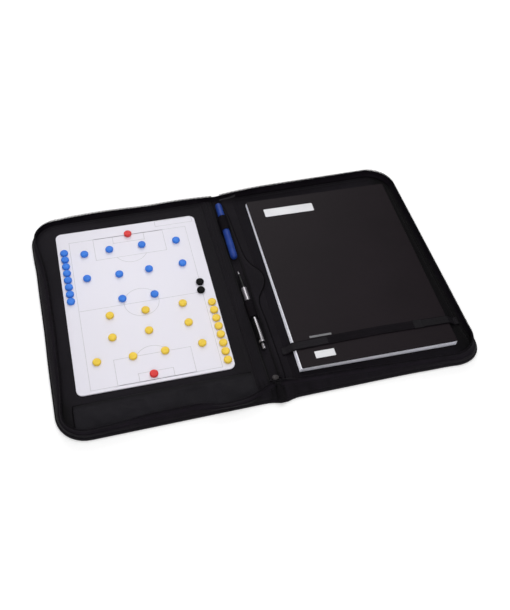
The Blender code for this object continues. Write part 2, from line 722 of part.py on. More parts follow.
def make_pen(pen_material, metal, barrel_pivot, refill_pivot):
    nose = PEN_LENGTH
    barrel = [(2.7 * MM, 0), (3.4 * MM, 0), (PEN_RADIUS, 1.0 * MM), (PEN_RADIUS, PEN_GRIP_START),
              (PEN_RADIUS + GRIP_PROUD, PEN_GRIP_START + 0.5 * MM),
              (PEN_RADIUS + GRIP_PROUD, PEN_GRIP_END),
              (PEN_RADIUS - 0.3 * MM, PEN_GRIP_END + 0.5 * MM), (2.9 * MM, nose - 12 * MM),
              (1.5 * MM, nose), (1.0 * MM, nose), (1.0 * MM, nose - 3 * MM), (1.6 * MM, nose - 5 * MM),
              (1.6 * MM, 14 * MM), (2.7 * MM, 14 * MM)]
    bm = revolved(barrel, ROUND_SEGMENTS, (0, 1, 0))
    pen = make_object("pen_barrel", bm, pen_material, barrel_pivot, location=(0, PEN_TAIL_Y, PEN_Z))
    for piece in pen_clip():
        combine(pen, piece, "UNION")
    refill = [(0, -PEN_BUTTON_OUT), (1.9 * MM, -PEN_BUTTON_OUT), (2.4 * MM, 0.6 * MM - PEN_BUTTON_OUT),
              (2.4 * MM, 13.4 * MM), (1.2 * MM, 13.7 * MM), (1.2 * MM, nose - 5.6 * MM),
              (0.7 * MM, nose - 4.6 * MM), (0.7 * MM, nose + PEN_TIP_OUT - 1 * MM),
              (0.3 * MM, nose + PEN_TIP_OUT), (0, nose + PEN_TIP_OUT)]
    bm = revolved(refill, ROUND_SEGMENTS, (0, 1, 0))
    make_object("pen_refill", bm, metal, refill_pivot, location=(0, PEN_TAIL_Y, PEN_Z))


# Pad and strap

def make_pad(paper, card, parent):
    corner = (PAD_CORNER.x, PAD_CORNER.y, 0)
    block = box((0, 0, ON_LINING), (PAD_WIDTH, PAD_HEIGHT, PAD_TOP))
    make_object("note_pad", block, paper, parent, location=corner, turn=PAD_TURN)
    sheet = box((0, 0, PAD_TOP + CLEARANCE), (PAD_WIDTH, PAD_HEIGHT, PAD_COVER_TOP))
    make_object("pad_cover", sheet, card, parent, location=corner, turn=PAD_TURN)


def make_strap(material, parent):
    # The band lies on the lining at both sewn ends and rises over the pad between them
    low = ON_LINING
    high = PAD_COVER_TOP + CLEARANCE
    rise_start = STRAP_END_LENGTH
    rise_end = rise_start + STRAP_RISE_LENGTH
    fall_start = STRAP_LENGTH - STRAP_END_LENGTH - STRAP_RISE_LENGTH
    fall_end = STRAP_LENGTH - STRAP_END_LENGTH
    under = [(0, low), (rise_start, low), (rise_end, high),
             (fall_start, high), (fall_end, low), (STRAP_LENGTH, low)]
    low_top = low + STRAP_THICKNESS
    high_top = high + STRAP_THICKNESS
    bend = 0.8 * MM
    over = [(STRAP_LENGTH, low_top), (fall_end + bend, low_top), (fall_start + bend, high_top),
            (rise_end - bend, high_top), (rise_start - bend, low_top), (0, low_top)]
    bm = extruded([Vector(p) for p in under + over], -STRAP_WIDTH / 2, STRAP_WIDTH / 2)
    bmesh.ops.rotate(bm, verts=bm.verts, cent=(0, 0, 0), matrix=Matrix.Rotation(math.pi / 2, 3, "X"))
    make_object("elastic_strap", bm, material, parent,
                location=(STRAP_START.x, STRAP_START.y, 0), turn=PAD_TURN)


# Zip slider: an outer and an inner plate joined by a wedge, so that the bead of each rim runs
# through its own side of the channel, with a bridge on the outer plate for the pull

def slider_plate():
    # Plate outline seen from outside: wide at the front, where the two rims enter
    half = SLIDER_PLATE_HEIGHT / 2
    rear = half - 1.4 * MM
    length = SLIDER_LENGTH / 2
    return rounded_outline([(-length, -rear, 1.2 * MM), (length - 3 * MM, -half, 1.5 * MM),
                            (length, -half + 2.2 * MM, 1.0 * MM), (length, half - 2.2 * MM, 1.0 * MM),
                            (length - 3 * MM, half, 1.5 * MM), (-length, rear, 1.2 * MM)], steps=3)


def upright(bm, y):
    # Stands a flat outline up in the XZ plane, its far face at y
    bmesh.ops.rotate(bm, verts=bm.verts, cent=(0, 0, 0), matrix=Matrix.Rotation(math.pi / 2, 3, "X"))
    bmesh.ops.translate(bm, verts=bm.verts, vec=(0, y, 0))
    return bm


def make_zip_slider(material, parent, location):
    half_channel = SLIDER_CHANNEL / 2
    plate = SLIDER_PLATE_THICKNESS
    outer = upright(extruded(slider_plate(), 0, plate), -half_channel)
    slider = make_object("zip_slider", outer, material, parent, location=location, turn=SLIDER_TURN)
    inner = upright(extruded(slider_plate(), 0, plate), half_channel + plate)
    half_wedge = WEDGE_THICKNESS / 2
    wedge_outline = [Vector((-1.5 * MM, 0)), Vector((2.0 * MM, -half_wedge)),
                     Vector((5.0 * MM, -half_wedge)), Vector((5.0 * MM, half_wedge)),
                     Vector((2.0 * MM, half_wedge))]
    reach = half_channel + 0.4 * MM
    wedge = upright(extruded(wedge_outline, 0, 2 * reach), reach)
    combine(slider, wedge, "UNION")
    combine(slider, inner, "UNION")
    bar = round_bar(BRIDGE_RADIUS, BRIDGE_HALF_LENGTH, 10)
    bmesh.ops.translate(bar, verts=bar.verts, vec=BRIDGE_OFFSET)
    combine(slider, bar, "UNION")
    for end in (-1, 1):
        middle = end * (BRIDGE_HALF_LENGTH - 0.5 * MM)
        post = box((middle - 0.6 * MM, BRIDGE_OFFSET.y - 0.9 * MM, BRIDGE_OFFSET.z - 0.9 * MM),
                   (middle + 0.6 * MM, -half_channel - 0.5 * MM, BRIDGE_OFFSET.z + 0.9 * MM))
        combine(slider, post, "UNION")
    return slider


def make_zip_pull(material, parent, location):
    # Tab with a ribbed grip, its eye round the bridge; modelled pointing along -Y, then tilted
    half_width = PULL_WIDTH / 2
    half_thickness = PULL_THICKNESS / 2
    strip = box((-half_width, -PULL_LENGTH, -half_thickness), (half_width, -4.5 * MM, half_thickness))
    long_edges = [e for e in strip.edges if abs(e.verts[0].co.z - e.verts[1].co.z) > 1e-6]
    bmesh.ops.bevel(strip, geom=long_edges, offset=1.6 * MM, segments=3, profile=0.5, affect="EDGES")
    pull = make_object("zip_pull", strip, material, parent, location=location)
    pull.rotation_euler = (-PULL_REST_ANGLE, 0, SLIDER_TURN)
    half_eye = BRIDGE_HALF_LENGTH - 1.5 * MM
    half_neck = half_thickness - 0.1 * MM
    neck = box((-half_eye, -6.5 * MM, -half_neck), (half_eye, -0.5 * MM, half_neck))
    combine(pull, neck, "UNION")
    combine(pull, round_bar(PULL_EYE_RADIUS, half_eye, 14), "UNION")
    half_rib = half_width - 1.2 * MM
    proud = half_thickness + 0.35 * MM
    for rib in range(4):
        y = -PULL_LENGTH + (3 + 2.4 * rib) * MM
        bump = box((-half_rib, y - 0.5 * MM, -proud), (half_rib, y + 0.5 * MM, proud))
        combine(pull, bump, "UNION")
    combine(pull, round_bar(BRIDGE_RADIUS + 0.4 * MM, 6 * MM, 14), "DIFFERENCE")
    return pull


def make_zip_stop(material, parent, location):
    # Bottom stop clamped round both tape ends, behind the slider
    rear = -SLIDER_LENGTH / 2 - CLEARANCE
    bm = box((rear - 3.4 * MM, -1.8 * MM, -2.6 * MM), (rear, 1.8 * MM, 2.6 * MM))
    bmesh.ops.bevel(bm, geom=bm.edges[:], offset=0.5 * MM, segments=2, profile=0.5, affect="EDGES")
    return make_object("zip_stop", bm, material, parent, location=location, turn=SLIDER_TURN)


def attach(obj, pivot):
    # Hands a piece modelled in place to its pivot, without moving it
    obj.parent = pivot
    obj.location = -Vector(pivot["home"])


def main():
    clear_scene()
    materials = make_materials()
    shell = materials["shell"]
    lining = materials["lining"]

    # Pivots, each on its joint's axis; the right half is the base
    right_half = make_pivot("right_half", (0, 0, 0))
    spine = make_pivot("spine_fold", (FOLD_X, 0, FOLD_Z), right_half)
    left_half = make_pivot("cover_fold", (-FOLD_X, 0, FOLD_Z), spine)
    slider_home = Vector((0, -DEPTH / 2 + SLIDER_RUN_INSET, SLIDER_Z))
    stop = make_pivot("closure_tail_shift", slider_home, right_half)
    slider = make_pivot("closure_slider_travel", slider_home, stop)
    bridge_home = slider_home + Matrix.Rotation(SLIDER_TURN, 3, "Z") @ BRIDGE_OFFSET
    pull = make_pivot("closure_pull_swing", bridge_home, slider)
    marker = make_pivot("marker_slide", (0, MARKER_TAIL_Y, MARKER_Z), spine)
    marker_cap = make_pivot("marker_cap_pull", (0, MARKER_SHOULDER_Y, MARKER_Z), marker)
    pen = make_pivot("pen_slide", (0, PEN_TAIL_Y, PEN_Z), spine)
    refill = make_pivot("pen_click", (0, PEN_TAIL_Y, PEN_Z), pen)
    pad = make_pivot("pad_slide", (PAD_CORNER.x, PAD_CORNER.y, 0), right_half)

    for name, side, parent in (("right_cover", 1, right_half), ("left_cover", -1, left_half)):
        cover = make_cover(name, side, shell, right_half)
        attach(cover, parent)
    attach(make_spine_cover(shell, right_half), spine)
    make_gusset("right_gusset", 1, right_rim(), shell, right_half)
    attach(make_gusset("left_gusset", -1, left_rim(), shell, right_half), left_half)
    right_lining = make_lining("right_lining", 1, lining, right_half)
    combine(right_lining, half_round_tab(), "UNION")
    attach(make_lining("left_lining", -1, lining, right_half), left_half)
    attach(make_card_pocket(lining, right_half), left_half)
    make_magnet_board(materials["board"], left_half)
    make_player_pieces(materials, left_half)
    make_pen_panel(lining, spine)
    make_marker(materials["marker"], marker, marker_cap)
    make_pen(materials["pen"], materials["chrome"], pen, refill)
    make_pad(materials["paper"], materials["pad_cover"], pad)
    make_strap(materials["elastic"], right_half)
    make_zip_slider(materials["zip_metal"], slider, slider_home)
    make_zip_pull(materials["pull"], pull, bridge_home)
    make_zip_stop(materials["zip_metal"], stop, slider_home)


main()
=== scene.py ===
# Coaching wallet lying open: fabric covers and soft zip walls, a magnet board with its players,
# a marker and a ballpoint on the spine, and a paper pad under an elastic strap.
import math
import random

import bmesh
import bpy
from mathutils import Matrix, Vector, noise


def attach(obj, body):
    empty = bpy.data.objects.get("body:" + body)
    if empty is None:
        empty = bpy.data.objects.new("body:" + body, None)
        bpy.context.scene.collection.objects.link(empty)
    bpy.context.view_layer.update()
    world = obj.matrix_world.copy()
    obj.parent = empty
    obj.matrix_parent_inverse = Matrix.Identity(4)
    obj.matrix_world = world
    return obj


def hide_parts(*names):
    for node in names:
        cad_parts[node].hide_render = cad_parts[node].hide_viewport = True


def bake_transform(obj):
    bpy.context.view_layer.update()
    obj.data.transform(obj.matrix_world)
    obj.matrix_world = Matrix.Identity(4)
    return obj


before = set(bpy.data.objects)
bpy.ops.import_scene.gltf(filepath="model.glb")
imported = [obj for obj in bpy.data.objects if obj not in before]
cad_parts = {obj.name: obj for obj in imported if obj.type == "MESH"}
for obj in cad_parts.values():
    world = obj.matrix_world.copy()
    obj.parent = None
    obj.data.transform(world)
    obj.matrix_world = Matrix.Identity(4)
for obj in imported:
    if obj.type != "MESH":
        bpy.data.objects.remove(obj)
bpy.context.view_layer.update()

# the wallet is built in millimetres; finishPiece turns each piece into metres
mm = 0.001
scene = bpy.context.scene


# small helpers

finishes = {}    # materials by name


def finishPiece(name, bm, finish, body=None, stands=(), sharp=40, outward=True):
    bmesh.ops.remove_doubles(bm, verts=bm.verts, dist=1e-4)
    if outward:
        bmesh.ops.recalc_face_normals(bm, faces=bm.faces)
    bm.transform(Matrix.Scale(mm, 4))
    mesh = bpy.data.meshes.new(name)
    bm.to_mesh(mesh)
    bm.free()
    mesh.shade_smooth()
    mesh.set_sharp_from_angle(angle=math.radians(sharp))
    mesh.materials.append(finishes[finish])
    piece = bpy.data.objects.new(name, mesh)
    scene.collection.objects.link(piece)
    if stands:
        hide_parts(*stands)
    if body:
        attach(piece, body)
    return piece


# places along x, from and to, over each fold line; bendAtFold reads them but bends nothing
bends = {"shell": (12, 24), "wall": (4, 30), "spine": (8, 28)}


def bendAtFold(piece, side, kind):
    # bakes the piece's transform into its mesh; the piece is not bent
    start, end = bends[kind]
    if side > 0:
        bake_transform(piece)
    else:
        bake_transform(piece)


def ease(t):
    t = min(1.0, max(0.0, t))
    return t * t * (3 - 2 * t)


def bell(offset, reach):
    # 1 in the middle, falling away smoothly on both sides
    return math.exp(-(offset / reach) ** 2)


def flow(controls, position):
    # smooth curves through (position, value, ...) controls, one value out for each value in
    for i in range(len(controls) - 1):
        if position <= controls[i + 1][0] or i == len(controls) - 2:
            break
    a, b = controls[i], controls[i + 1]
    before = controls[max(i - 1, 0)]
    after = controls[min(i + 2, len(controls) - 1)]
    span = b[0] - a[0]
    t = min(1.0, max(0.0, (position - a[0]) / span))
    result = []
    for k in range(1, len(a)):
        slopeA = (b[k] - before[k]) / (b[0] - before[0])
        slopeB = (after[k] - a[k]) / (after[0] - a[0])
        bend = span * (t * (1 - t) ** 2 * slopeA - t * t * (1 - t) * slopeB)
        result.append(a[k] * (1 - ease(t)) + b[k] * ease(t) + bend)
    return result


def steps(low, high, spacing):
    count = max(1, round((high - low) / spacing))
    return [low + (high - low) * i / count for i in range(count + 1)]


def plate(corners, low, high, rounds=10):
    # corners are (x, y, radius) in order round the outline
    bm = bmesh.new()
    verts = [bm.verts.new((x, y, low)) for x, y, radius in corners]
    bm.faces.new(verts)
    for vert, (x, y, radius) in zip(verts, corners):
        if radius:
            bmesh.ops.bevel(bm, geom=[vert], offset=radius, offset_type="OFFSET", segments=rounds,
                            profile=0.5, affect="VERTICES", material=-1)
    grown = bmesh.ops.extrude_face_region(bm, geom=bm.faces[:])
    top = [v for v in grown["geom"] if isinstance(v, bmesh.types.BMVert)]
    bmesh.ops.translate(bm, verts=top, vec=(0, 0, high - low))
    bmesh.ops.recalc_face_normals(bm, faces=bm.faces)
    return bm


def softenRim(bm, rings, facing=1):
    # insets the top (or bottom) face ring by ring: each is (width, rise)
    bm.normal_update()
    flat = [f for f in bm.faces if f.normal.z * facing > 0.9]
    for width, rise in rings:
        bmesh.ops.inset_region(bm, faces=flat, thickness=width, depth=rise, use_even_offset=True)


def sliceGrid(bm, xs=(), ys=()):
    cuts = [((x, 0, 0), (1, 0, 0)) for x in xs] + [((0, y, 0), (0, 1, 0)) for y in ys]
    for spot, across in cuts:
        bmesh.ops.bisect_plane(bm, geom=bm.verts[:] + bm.edges[:] + bm.faces[:], dist=1e-3,
                               plane_co=spot, plane_no=across)


def clothGrid(columns, rows, place, closed=False):
    # a flat grid whose points are laid where place(column, row) says, with its UV map in metres
    bm = bmesh.new()
    bmesh.ops.create_grid(bm, x_segments=columns, y_segments=rows, size=0.5)
    uvMap = bm.loops.layers.uv.new("cloth")
    spots = {}
    for vert in bm.verts:
        spots[vert] = place(round((vert.co.x + 0.5) * columns), round((vert.co.y + 0.5) * rows))
    for face in bm.faces:
        for loop in face.loops:
            loop[uvMap].uv = [v * mm for v in spots[loop.vert][1]]
    for vert, spot in spots.items():
        vert.co = spot[0]
    if closed:
        bmesh.ops.remove_doubles(bm, verts=bm.verts, dist=1e-3)
        bmesh.ops.holes_fill(bm, edges=bm.edges, sides=0)
    return bm


def clothSheet(columns, rows, place, thickness):
    # an open sheet of cloth, its upper face where place says
    bm = clothGrid(columns, rows, place)
    bmesh.ops.recalc_face_normals(bm, faces=bm.faces)
    if bm.faces[:][0].normal.z < 0:
        bmesh.ops.reverse_faces(bm, faces=bm.faces)
    bmesh.ops.solidify(bm, geom=bm.faces[:], thickness=thickness)
    return bm


def spun(profile, count=40, along=(0, 1, 0)):
    # turns a (radius, distance) profile about its axis
    bm = bmesh.new()
    verts = [bm.verts.new(Vector((radius, 0, 0)) + Vector(along) * distance)
             for radius, distance in profile]
    edges = [bm.edges.new(pair) for pair in zip(verts, verts[1:])]
    bmesh.ops.spin(bm, geom=verts + edges, cent=(0, 0, 0), axis=along, angle=2 * math.pi,
                   steps=count, use_merge=True, use_duplicate=False)
    bmesh.ops.remove_doubles(bm, verts=bm.verts, dist=1e-3)
    bmesh.ops.recalc_face_normals(bm, faces=bm.faces)
    return bm


def moved(bm, offset=(0, 0, 0), turn=0.0, axis="Z"):
    bmesh.ops.rotate(bm, verts=bm.verts, cent=(0, 0, 0), matrix=Matrix.Rotation(turn, 3, axis))
    bmesh.ops.translate(bm, verts=bm.verts, vec=offset)
    return bm


def placeOn(part, bm):
    # from a part's own corner and turn to its place on the wallet
    return moved(bm, part["corner"], part["turn"])


def joined(*parts):
    whole = bmesh.new()
    for part in parts:
        mesh = bpy.data.meshes.new("part")
        part.to_mesh(mesh)
        part.free()
        whole.from_mesh(mesh)
        bpy.data.meshes.remove(mesh)
    return whole


def block(low, high, bevel=0.0, rounds=2):
    bm = bmesh.new()
    bmesh.ops.create_cube(bm, size=1.0)
    for vert in bm.verts:
        vert.co = [a + (b - a) * (c + 0.5) for a, b, c in zip(low, high, vert.co)]
    if bevel:
        bmesh.ops.bevel(bm, geom=bm.edges[:], offset=bevel, segments=rounds, profile=0.5,
                        affect="EDGES", clamp_overlap=True, material=-1)
    return bm


def stamp(template, places):
    # repeats a small shape at each matrix
    points = [v.co.copy() for v in template.verts]
    template.verts.index_update()
    faces = [[v.index for v in f.verts] for f in template.faces]
    template.free()
    bm = bmesh.new()
    for place in places:
        verts = [bm.verts.new(place @ p) for p in points]
        for face in faces:
            bm.faces.new([verts[i] for i in face])
    return bm


def frameAt(spot, forward, up):
    # matrix with x along forward and z near up
    x = Vector(forward).normalized()
    y = Vector(up).cross(x).normalized()
    z = x.cross(y)
    return Matrix.Translation(spot) @ Matrix((x, y, z)).transposed().to_4x4()


def walkLine(points, pitch):
    # even steps along a line of points: (spot, forward)
    found = []
    left = pitch / 2
    for a, b in zip(points, points[1:]):
        length = (b - a).length
        if length < 1e-6:
            continue
        while left <= length:
            found.append((a.lerp(b, left / length), (b - a) / length))
            left += pitch
        left -= length
    return found


def tubeAlong(points, radius, count=8):
    # a round cord laid along points
    total = [0.0]
    for a, b in zip(points, points[1:]):
        total.append(total[-1] + (b - a).length)

    def place(i, j):
        forward = (points[min(i + 1, len(points) - 1)] - points[max(i - 1, 0)]).normalized()
        sideways = Vector((0, 0, 1)).cross(forward).normalized()
        up = forward.cross(sideways)
        angle = 2 * math.pi * (j % count) / count
        return (points[i] + (sideways * math.cos(angle) + up * math.sin(angle)) * radius,
                (total[i], j / count * 2 * math.pi * radius))

    return clothGrid(len(points) - 1, count, place, closed=True)


def markPaintedShade(bm, depthAt):
    # writes how much painted shade each point gets, 0 to 1, to darken the cloth's colour
    layer = bm.verts.layers.float.new("paintedShade")
    for vert in bm.verts:
        vert[layer] = min(1.0, max(0.0, depthAt(vert.co)))
    return bm


stitch = {"pitch": 3.4, "length": 2.5, "thread": 0.42}


def stitchRow(points):
    places = [frameAt(spot, forward, (0, 0, 1)) for spot, forward in walkLine(points, stitch["pitch"])]
    bm = bmesh.new()
    bmesh.ops.create_icosphere(bm, subdivisions=1, radius=0.5)
    bmesh.ops.scale(bm, verts=bm.verts, vec=(stitch["length"], stitch["thread"], stitch["thread"]))
    return stamp(bm, places)


def sewPiece(name, rows, body=None):
    return finishPiece(name, rows, "sewingThread", body, outward=False)


# materials; their sizes are in millimetres too

def startMaterial(name):
    material = bpy.data.materials.new(name)
    material.use_nodes = True
    tree = material.node_tree
    finishes[name] = material
    return tree, tree.nodes["Principled BSDF"]


def node(tree, kind, inputs=None, **options):
    made = tree.nodes.new("ShaderNode" + kind)
    for key, value in options.items():
        setattr(made, key, value)
    for key, value in (inputs or {}).items():
        if isinstance(value, bpy.types.NodeSocket):
            tree.links.new(value, made.inputs[key])
        else:
            made.inputs[key].default_value = value
    return made


def noiseNode(tree, place, scale, detail, **inputs):
    settings = {"Vector": place, "Scale": scale, "Detail": detail, **inputs}
    return node(tree, "TexNoise", settings).outputs[0]


def waveNode(tree, place, period, direction, **inputs):
    # bands that repeat after each period, in millimetres
    settings = {"Vector": place, "Scale": 2 * math.pi / (20 * period * mm), **inputs}
    return node(tree, "TexWave", settings, bands_direction=direction).outputs["Fac"]


def mathNode(tree, operation, a, b=0.0, c=0.0):
    return node(tree, "Math", {0: a, 1: b, 2: c}, operation=operation).outputs[0]


def coordinates(tree, kind, stretch=None):
    source = node(tree, "TexCoord").outputs[kind]
    if stretch is None:
        return source
    return node(tree, "Mapping", {"Vector": source, "Scale": stretch}).outputs["Vector"]


def ramp(tree, factor, look, start, end):
    # from the look's dark colour to its light one
    made = node(tree, "ValToRGB", {"Fac": factor})
    for element, tone, position in zip(made.color_ramp.elements, ("dark", "light"), (start, end)):
        element.color = (*look[tone], 1)
        element.position = position
    return made.outputs["Color"]


def withPaintedShade(tree, colour):
    # painted shade: darker where the piece's attribute of painted shade is high
    paintedShade = node(tree, "Attribute", attribute_name="paintedShade", attribute_type="GEOMETRY")
    share = mathNode(tree, "MULTIPLY", paintedShade.outputs["Fac"], 0.8)
    return node(tree, "Mix", {0: share, 6: colour, 7: (0.0, 0.0, 0.0, 1.0)}, data_type="RGBA").outputs[2]


def dressShader(tree, shader, look, tint, wear, spread, height, bump, depth, span=(0.0, 1.0)):
    # colour, gloss, roughness that wear shifts by the spread, and fine relief
    rough = node(tree, "MapRange", {"Value": wear, "From Min": span[0], "From Max": span[1],
                                    "To Min": look["rough"] - spread, "To Max": look["rough"] + spread})
    strength = look.get("bump", bump)
    relief = node(tree, "Bump", {"Height": height, "Strength": strength, "Distance": depth * mm})
    tree.links.new(tint, shader.inputs["Base Color"])
    tree.links.new(rough.outputs[0], shader.inputs["Roughness"])
    tree.links.new(relief.outputs[0], shader.inputs["Normal"])
    shader.inputs["Specular IOR Level"].default_value = look.get("gloss", 0.5)


def clothMaterial(name, look):
    # woven cloth: two crossing threads in a checker, fuzz, and slow changes of tone
    tree, shader = startMaterial(name)
    source = look.get("flow", "Object")
    place = coordinates(tree, source)
    across, along = (waveNode(tree, place, look["thread"], direction) for direction in "XY")
    checks = node(tree, "TexChecker", {"Vector": place, "Scale": 1 / (look["thread"] * mm)})
    weave = node(tree, "Mix", {0: checks.outputs["Fac"], 2: across, 3: along}).outputs[0]
    fuzz = noiseNode(tree, place, scale=1100.0, detail=3.0)
    stretched = coordinates(tree, source, look.get("stretch"))
    cloud = noiseNode(tree, stretched, scale=look.get("cloud", 16.0), detail=4.0)
    height = mathNode(tree, "MULTIPLY_ADD", fuzz, 0.6, weave)
    tone = mathNode(tree, "MULTIPLY_ADD", weave, 0.25, cloud)
    # the colour takes the piece's painted shade
    tint = withPaintedShade(tree, ramp(tree, tone, look, start=0.35, end=0.9))
    dressShader(tree, shader, look, tint, wear=cloud, spread=0.08, height=height, bump=0.45, depth=0.25)
    shader.inputs["Sheen Weight"].default_value = 0.05
    shader.inputs["Sheen Roughness"].default_value = 0.5


def ribbedMaterial(name, look):
    # elastic or zip tape: ribs along the cloth's length, with a fine cross thread
    tree, shader = startMaterial(name)
    place = coordinates(tree, "UV")
    ribs = waveNode(tree, place, look["rib"], "Y")
    threads = waveNode(tree, place, look["thread"], "X", Distortion=0.6, Detail=1.0)
    cloud = noiseNode(tree, place, scale=30.0, detail=4.0)
    height = mathNode(tree, "MULTIPLY_ADD", threads, 0.35, ribs)
    tone = mathNode(tree, "MULTIPLY_ADD", height, 0.35, cloud)
    # the colour takes the piece's painted shade
    tint = withPaintedShade(tree, ramp(tree, tone, look, start=0.4, end=1.0))
    dressShader(tree, shader, look, tint, wear=cloud, spread=0.07, height=height, bump=0.5, depth=0.25)


def mouldedMaterial(name, look):
    # moulded plastic, metal, paint or paper: slow tone, fine grain, scuffs in the roughness
    tree, shader = startMaterial(name)
    place = coordinates(tree, "Object", look.get("stretch"))
    cloud = noiseNode(tree, place, scale=look.get("cloud", 60.0), detail=4.0)
    grain = noiseNode(tree, place, scale=look.get("grain", 2500.0), detail=2.0)
    scuff = noiseNode(tree, place, scale=look.get("scuff", 220.0), detail=5.0, Distortion=0.4)
    tint = ramp(tree, cloud, look, start=0.3, end=0.75)
    dressShader(tree, shader, look, tint, wear=scuff, spread=look.get("spread", 0.05), height=grain,
                bump=0.12, depth=0.08, span=(0.3, 0.7))
    shader.inputs["Metallic"].default_value = look.get("metal", 0.0)


def leatheretteMaterial(name, look):
    # pressed grain of small rounded cells
    tree, shader = startMaterial(name)
    place = coordinates(tree, "Object")
    cells = node(tree, "TexVoronoi", {"Vector": place, "Scale": look["cells"]}).outputs["Distance"]
    cloud = noiseNode(tree, place, scale=9.0, detail=5.0)
    fine = noiseNode(tree, place, scale=900.0, detail=3.0)
    height = mathNode(tree, "MULTIPLY_ADD", fine, 0.3, cells)
    tone = mathNode(tree, "MULTIPLY_ADD", cells, 0.15, cloud)
    tint = ramp(tree, tone, look, start=0.35, end=0.85)
    dressShader(tree, shader, look, tint, wear=cloud, spread=0.07, height=height, bump=0.3, depth=0.15)


blackCloth = {"thread": 0.7, "dark": (0.0037, 0.0026, 0.0045), "light": (0.0088, 0.0068, 0.0103),
              "rough": 0.8, "gloss": 0.1}
cloths = {
    "shellCloth": blackCloth,
    "wallCloth": {**blackCloth, "flow": "UV", "bump": 0.5, "stretch": (7, 0.8, 1), "cloud": 24.0},
    "liningCloth": {"thread": 0.5, "dark": (0.0050, 0.0038, 0.0060), "light": (0.0112, 0.0091, 0.0131),
                    "rough": 0.75, "cloud": 11.0, "gloss": 0.12, "bump": 0.35},
    # a darker copy of the lining cloth for the right half: painted shade
    "liningShadedCopy": {"thread": 0.5, "dark": (0.0034, 0.0025, 0.0042), "light": (0.0078, 0.0062, 0.0092),
                   "rough": 0.78, "cloud": 11.0, "gloss": 0.07, "bump": 0.35},
    "liningFlow": {"thread": 0.5, "dark": (0.0038, 0.0028, 0.0046), "light": (0.0092, 0.0073, 0.0107),
                   "rough": 0.76, "cloud": 20.0, "gloss": 0.09, "bump": 0.35, "flow": "UV"},
    "pocketCloth": {"thread": 0.45, "dark": (0.0058, 0.0050, 0.0072), "light": (0.0120, 0.0106, 0.0143),
                    "rough": 0.7, "gloss": 0.12, "bump": 0.3},
}
ribbedCloths = {
    "tapeCloth": {"rib": 1.1, "thread": 0.45, "dark": (0.0042, 0.0028, 0.0052),
                  "light": (0.0118, 0.0086, 0.0140), "rough": 0.75, "gloss": 0.14},
    # the tape's own cloth made far lighter for its loose end: a painted highlight
    "tapeEndHighlight": {"rib": 2.5, "thread": 0.7, "dark": (0.016, 0.015, 0.017),
                     "light": (0.085, 0.08, 0.088), "rough": 0.7, "gloss": 0.2},
    "webbingCloth": {"rib": 1.4, "thread": 0.5, "dark": (0.0058, 0.0049, 0.0066),
                     "light": (0.0125, 0.0109, 0.0141), "rough": 0.7, "gloss": 0.15},
    "elasticCloth": {"rib": 1.0, "thread": 0.6, "dark": (0.0024, 0.0017, 0.0028),
                     "light": (0.0072, 0.0055, 0.0080), "rough": 0.8, "gloss": 0.1},
    # binding coloured near black to stand for the shadow lines along the pocket's mouth and the flap's edge:
    # painted shadow
    "bindingPaintedShadow": {"rib": 0.8, "thread": 0.5, "dark": (0.0012, 0.0009, 0.0014),
                    "light": (0.0034, 0.0027, 0.0038), "rough": 0.8, "gloss": 0.05},
}
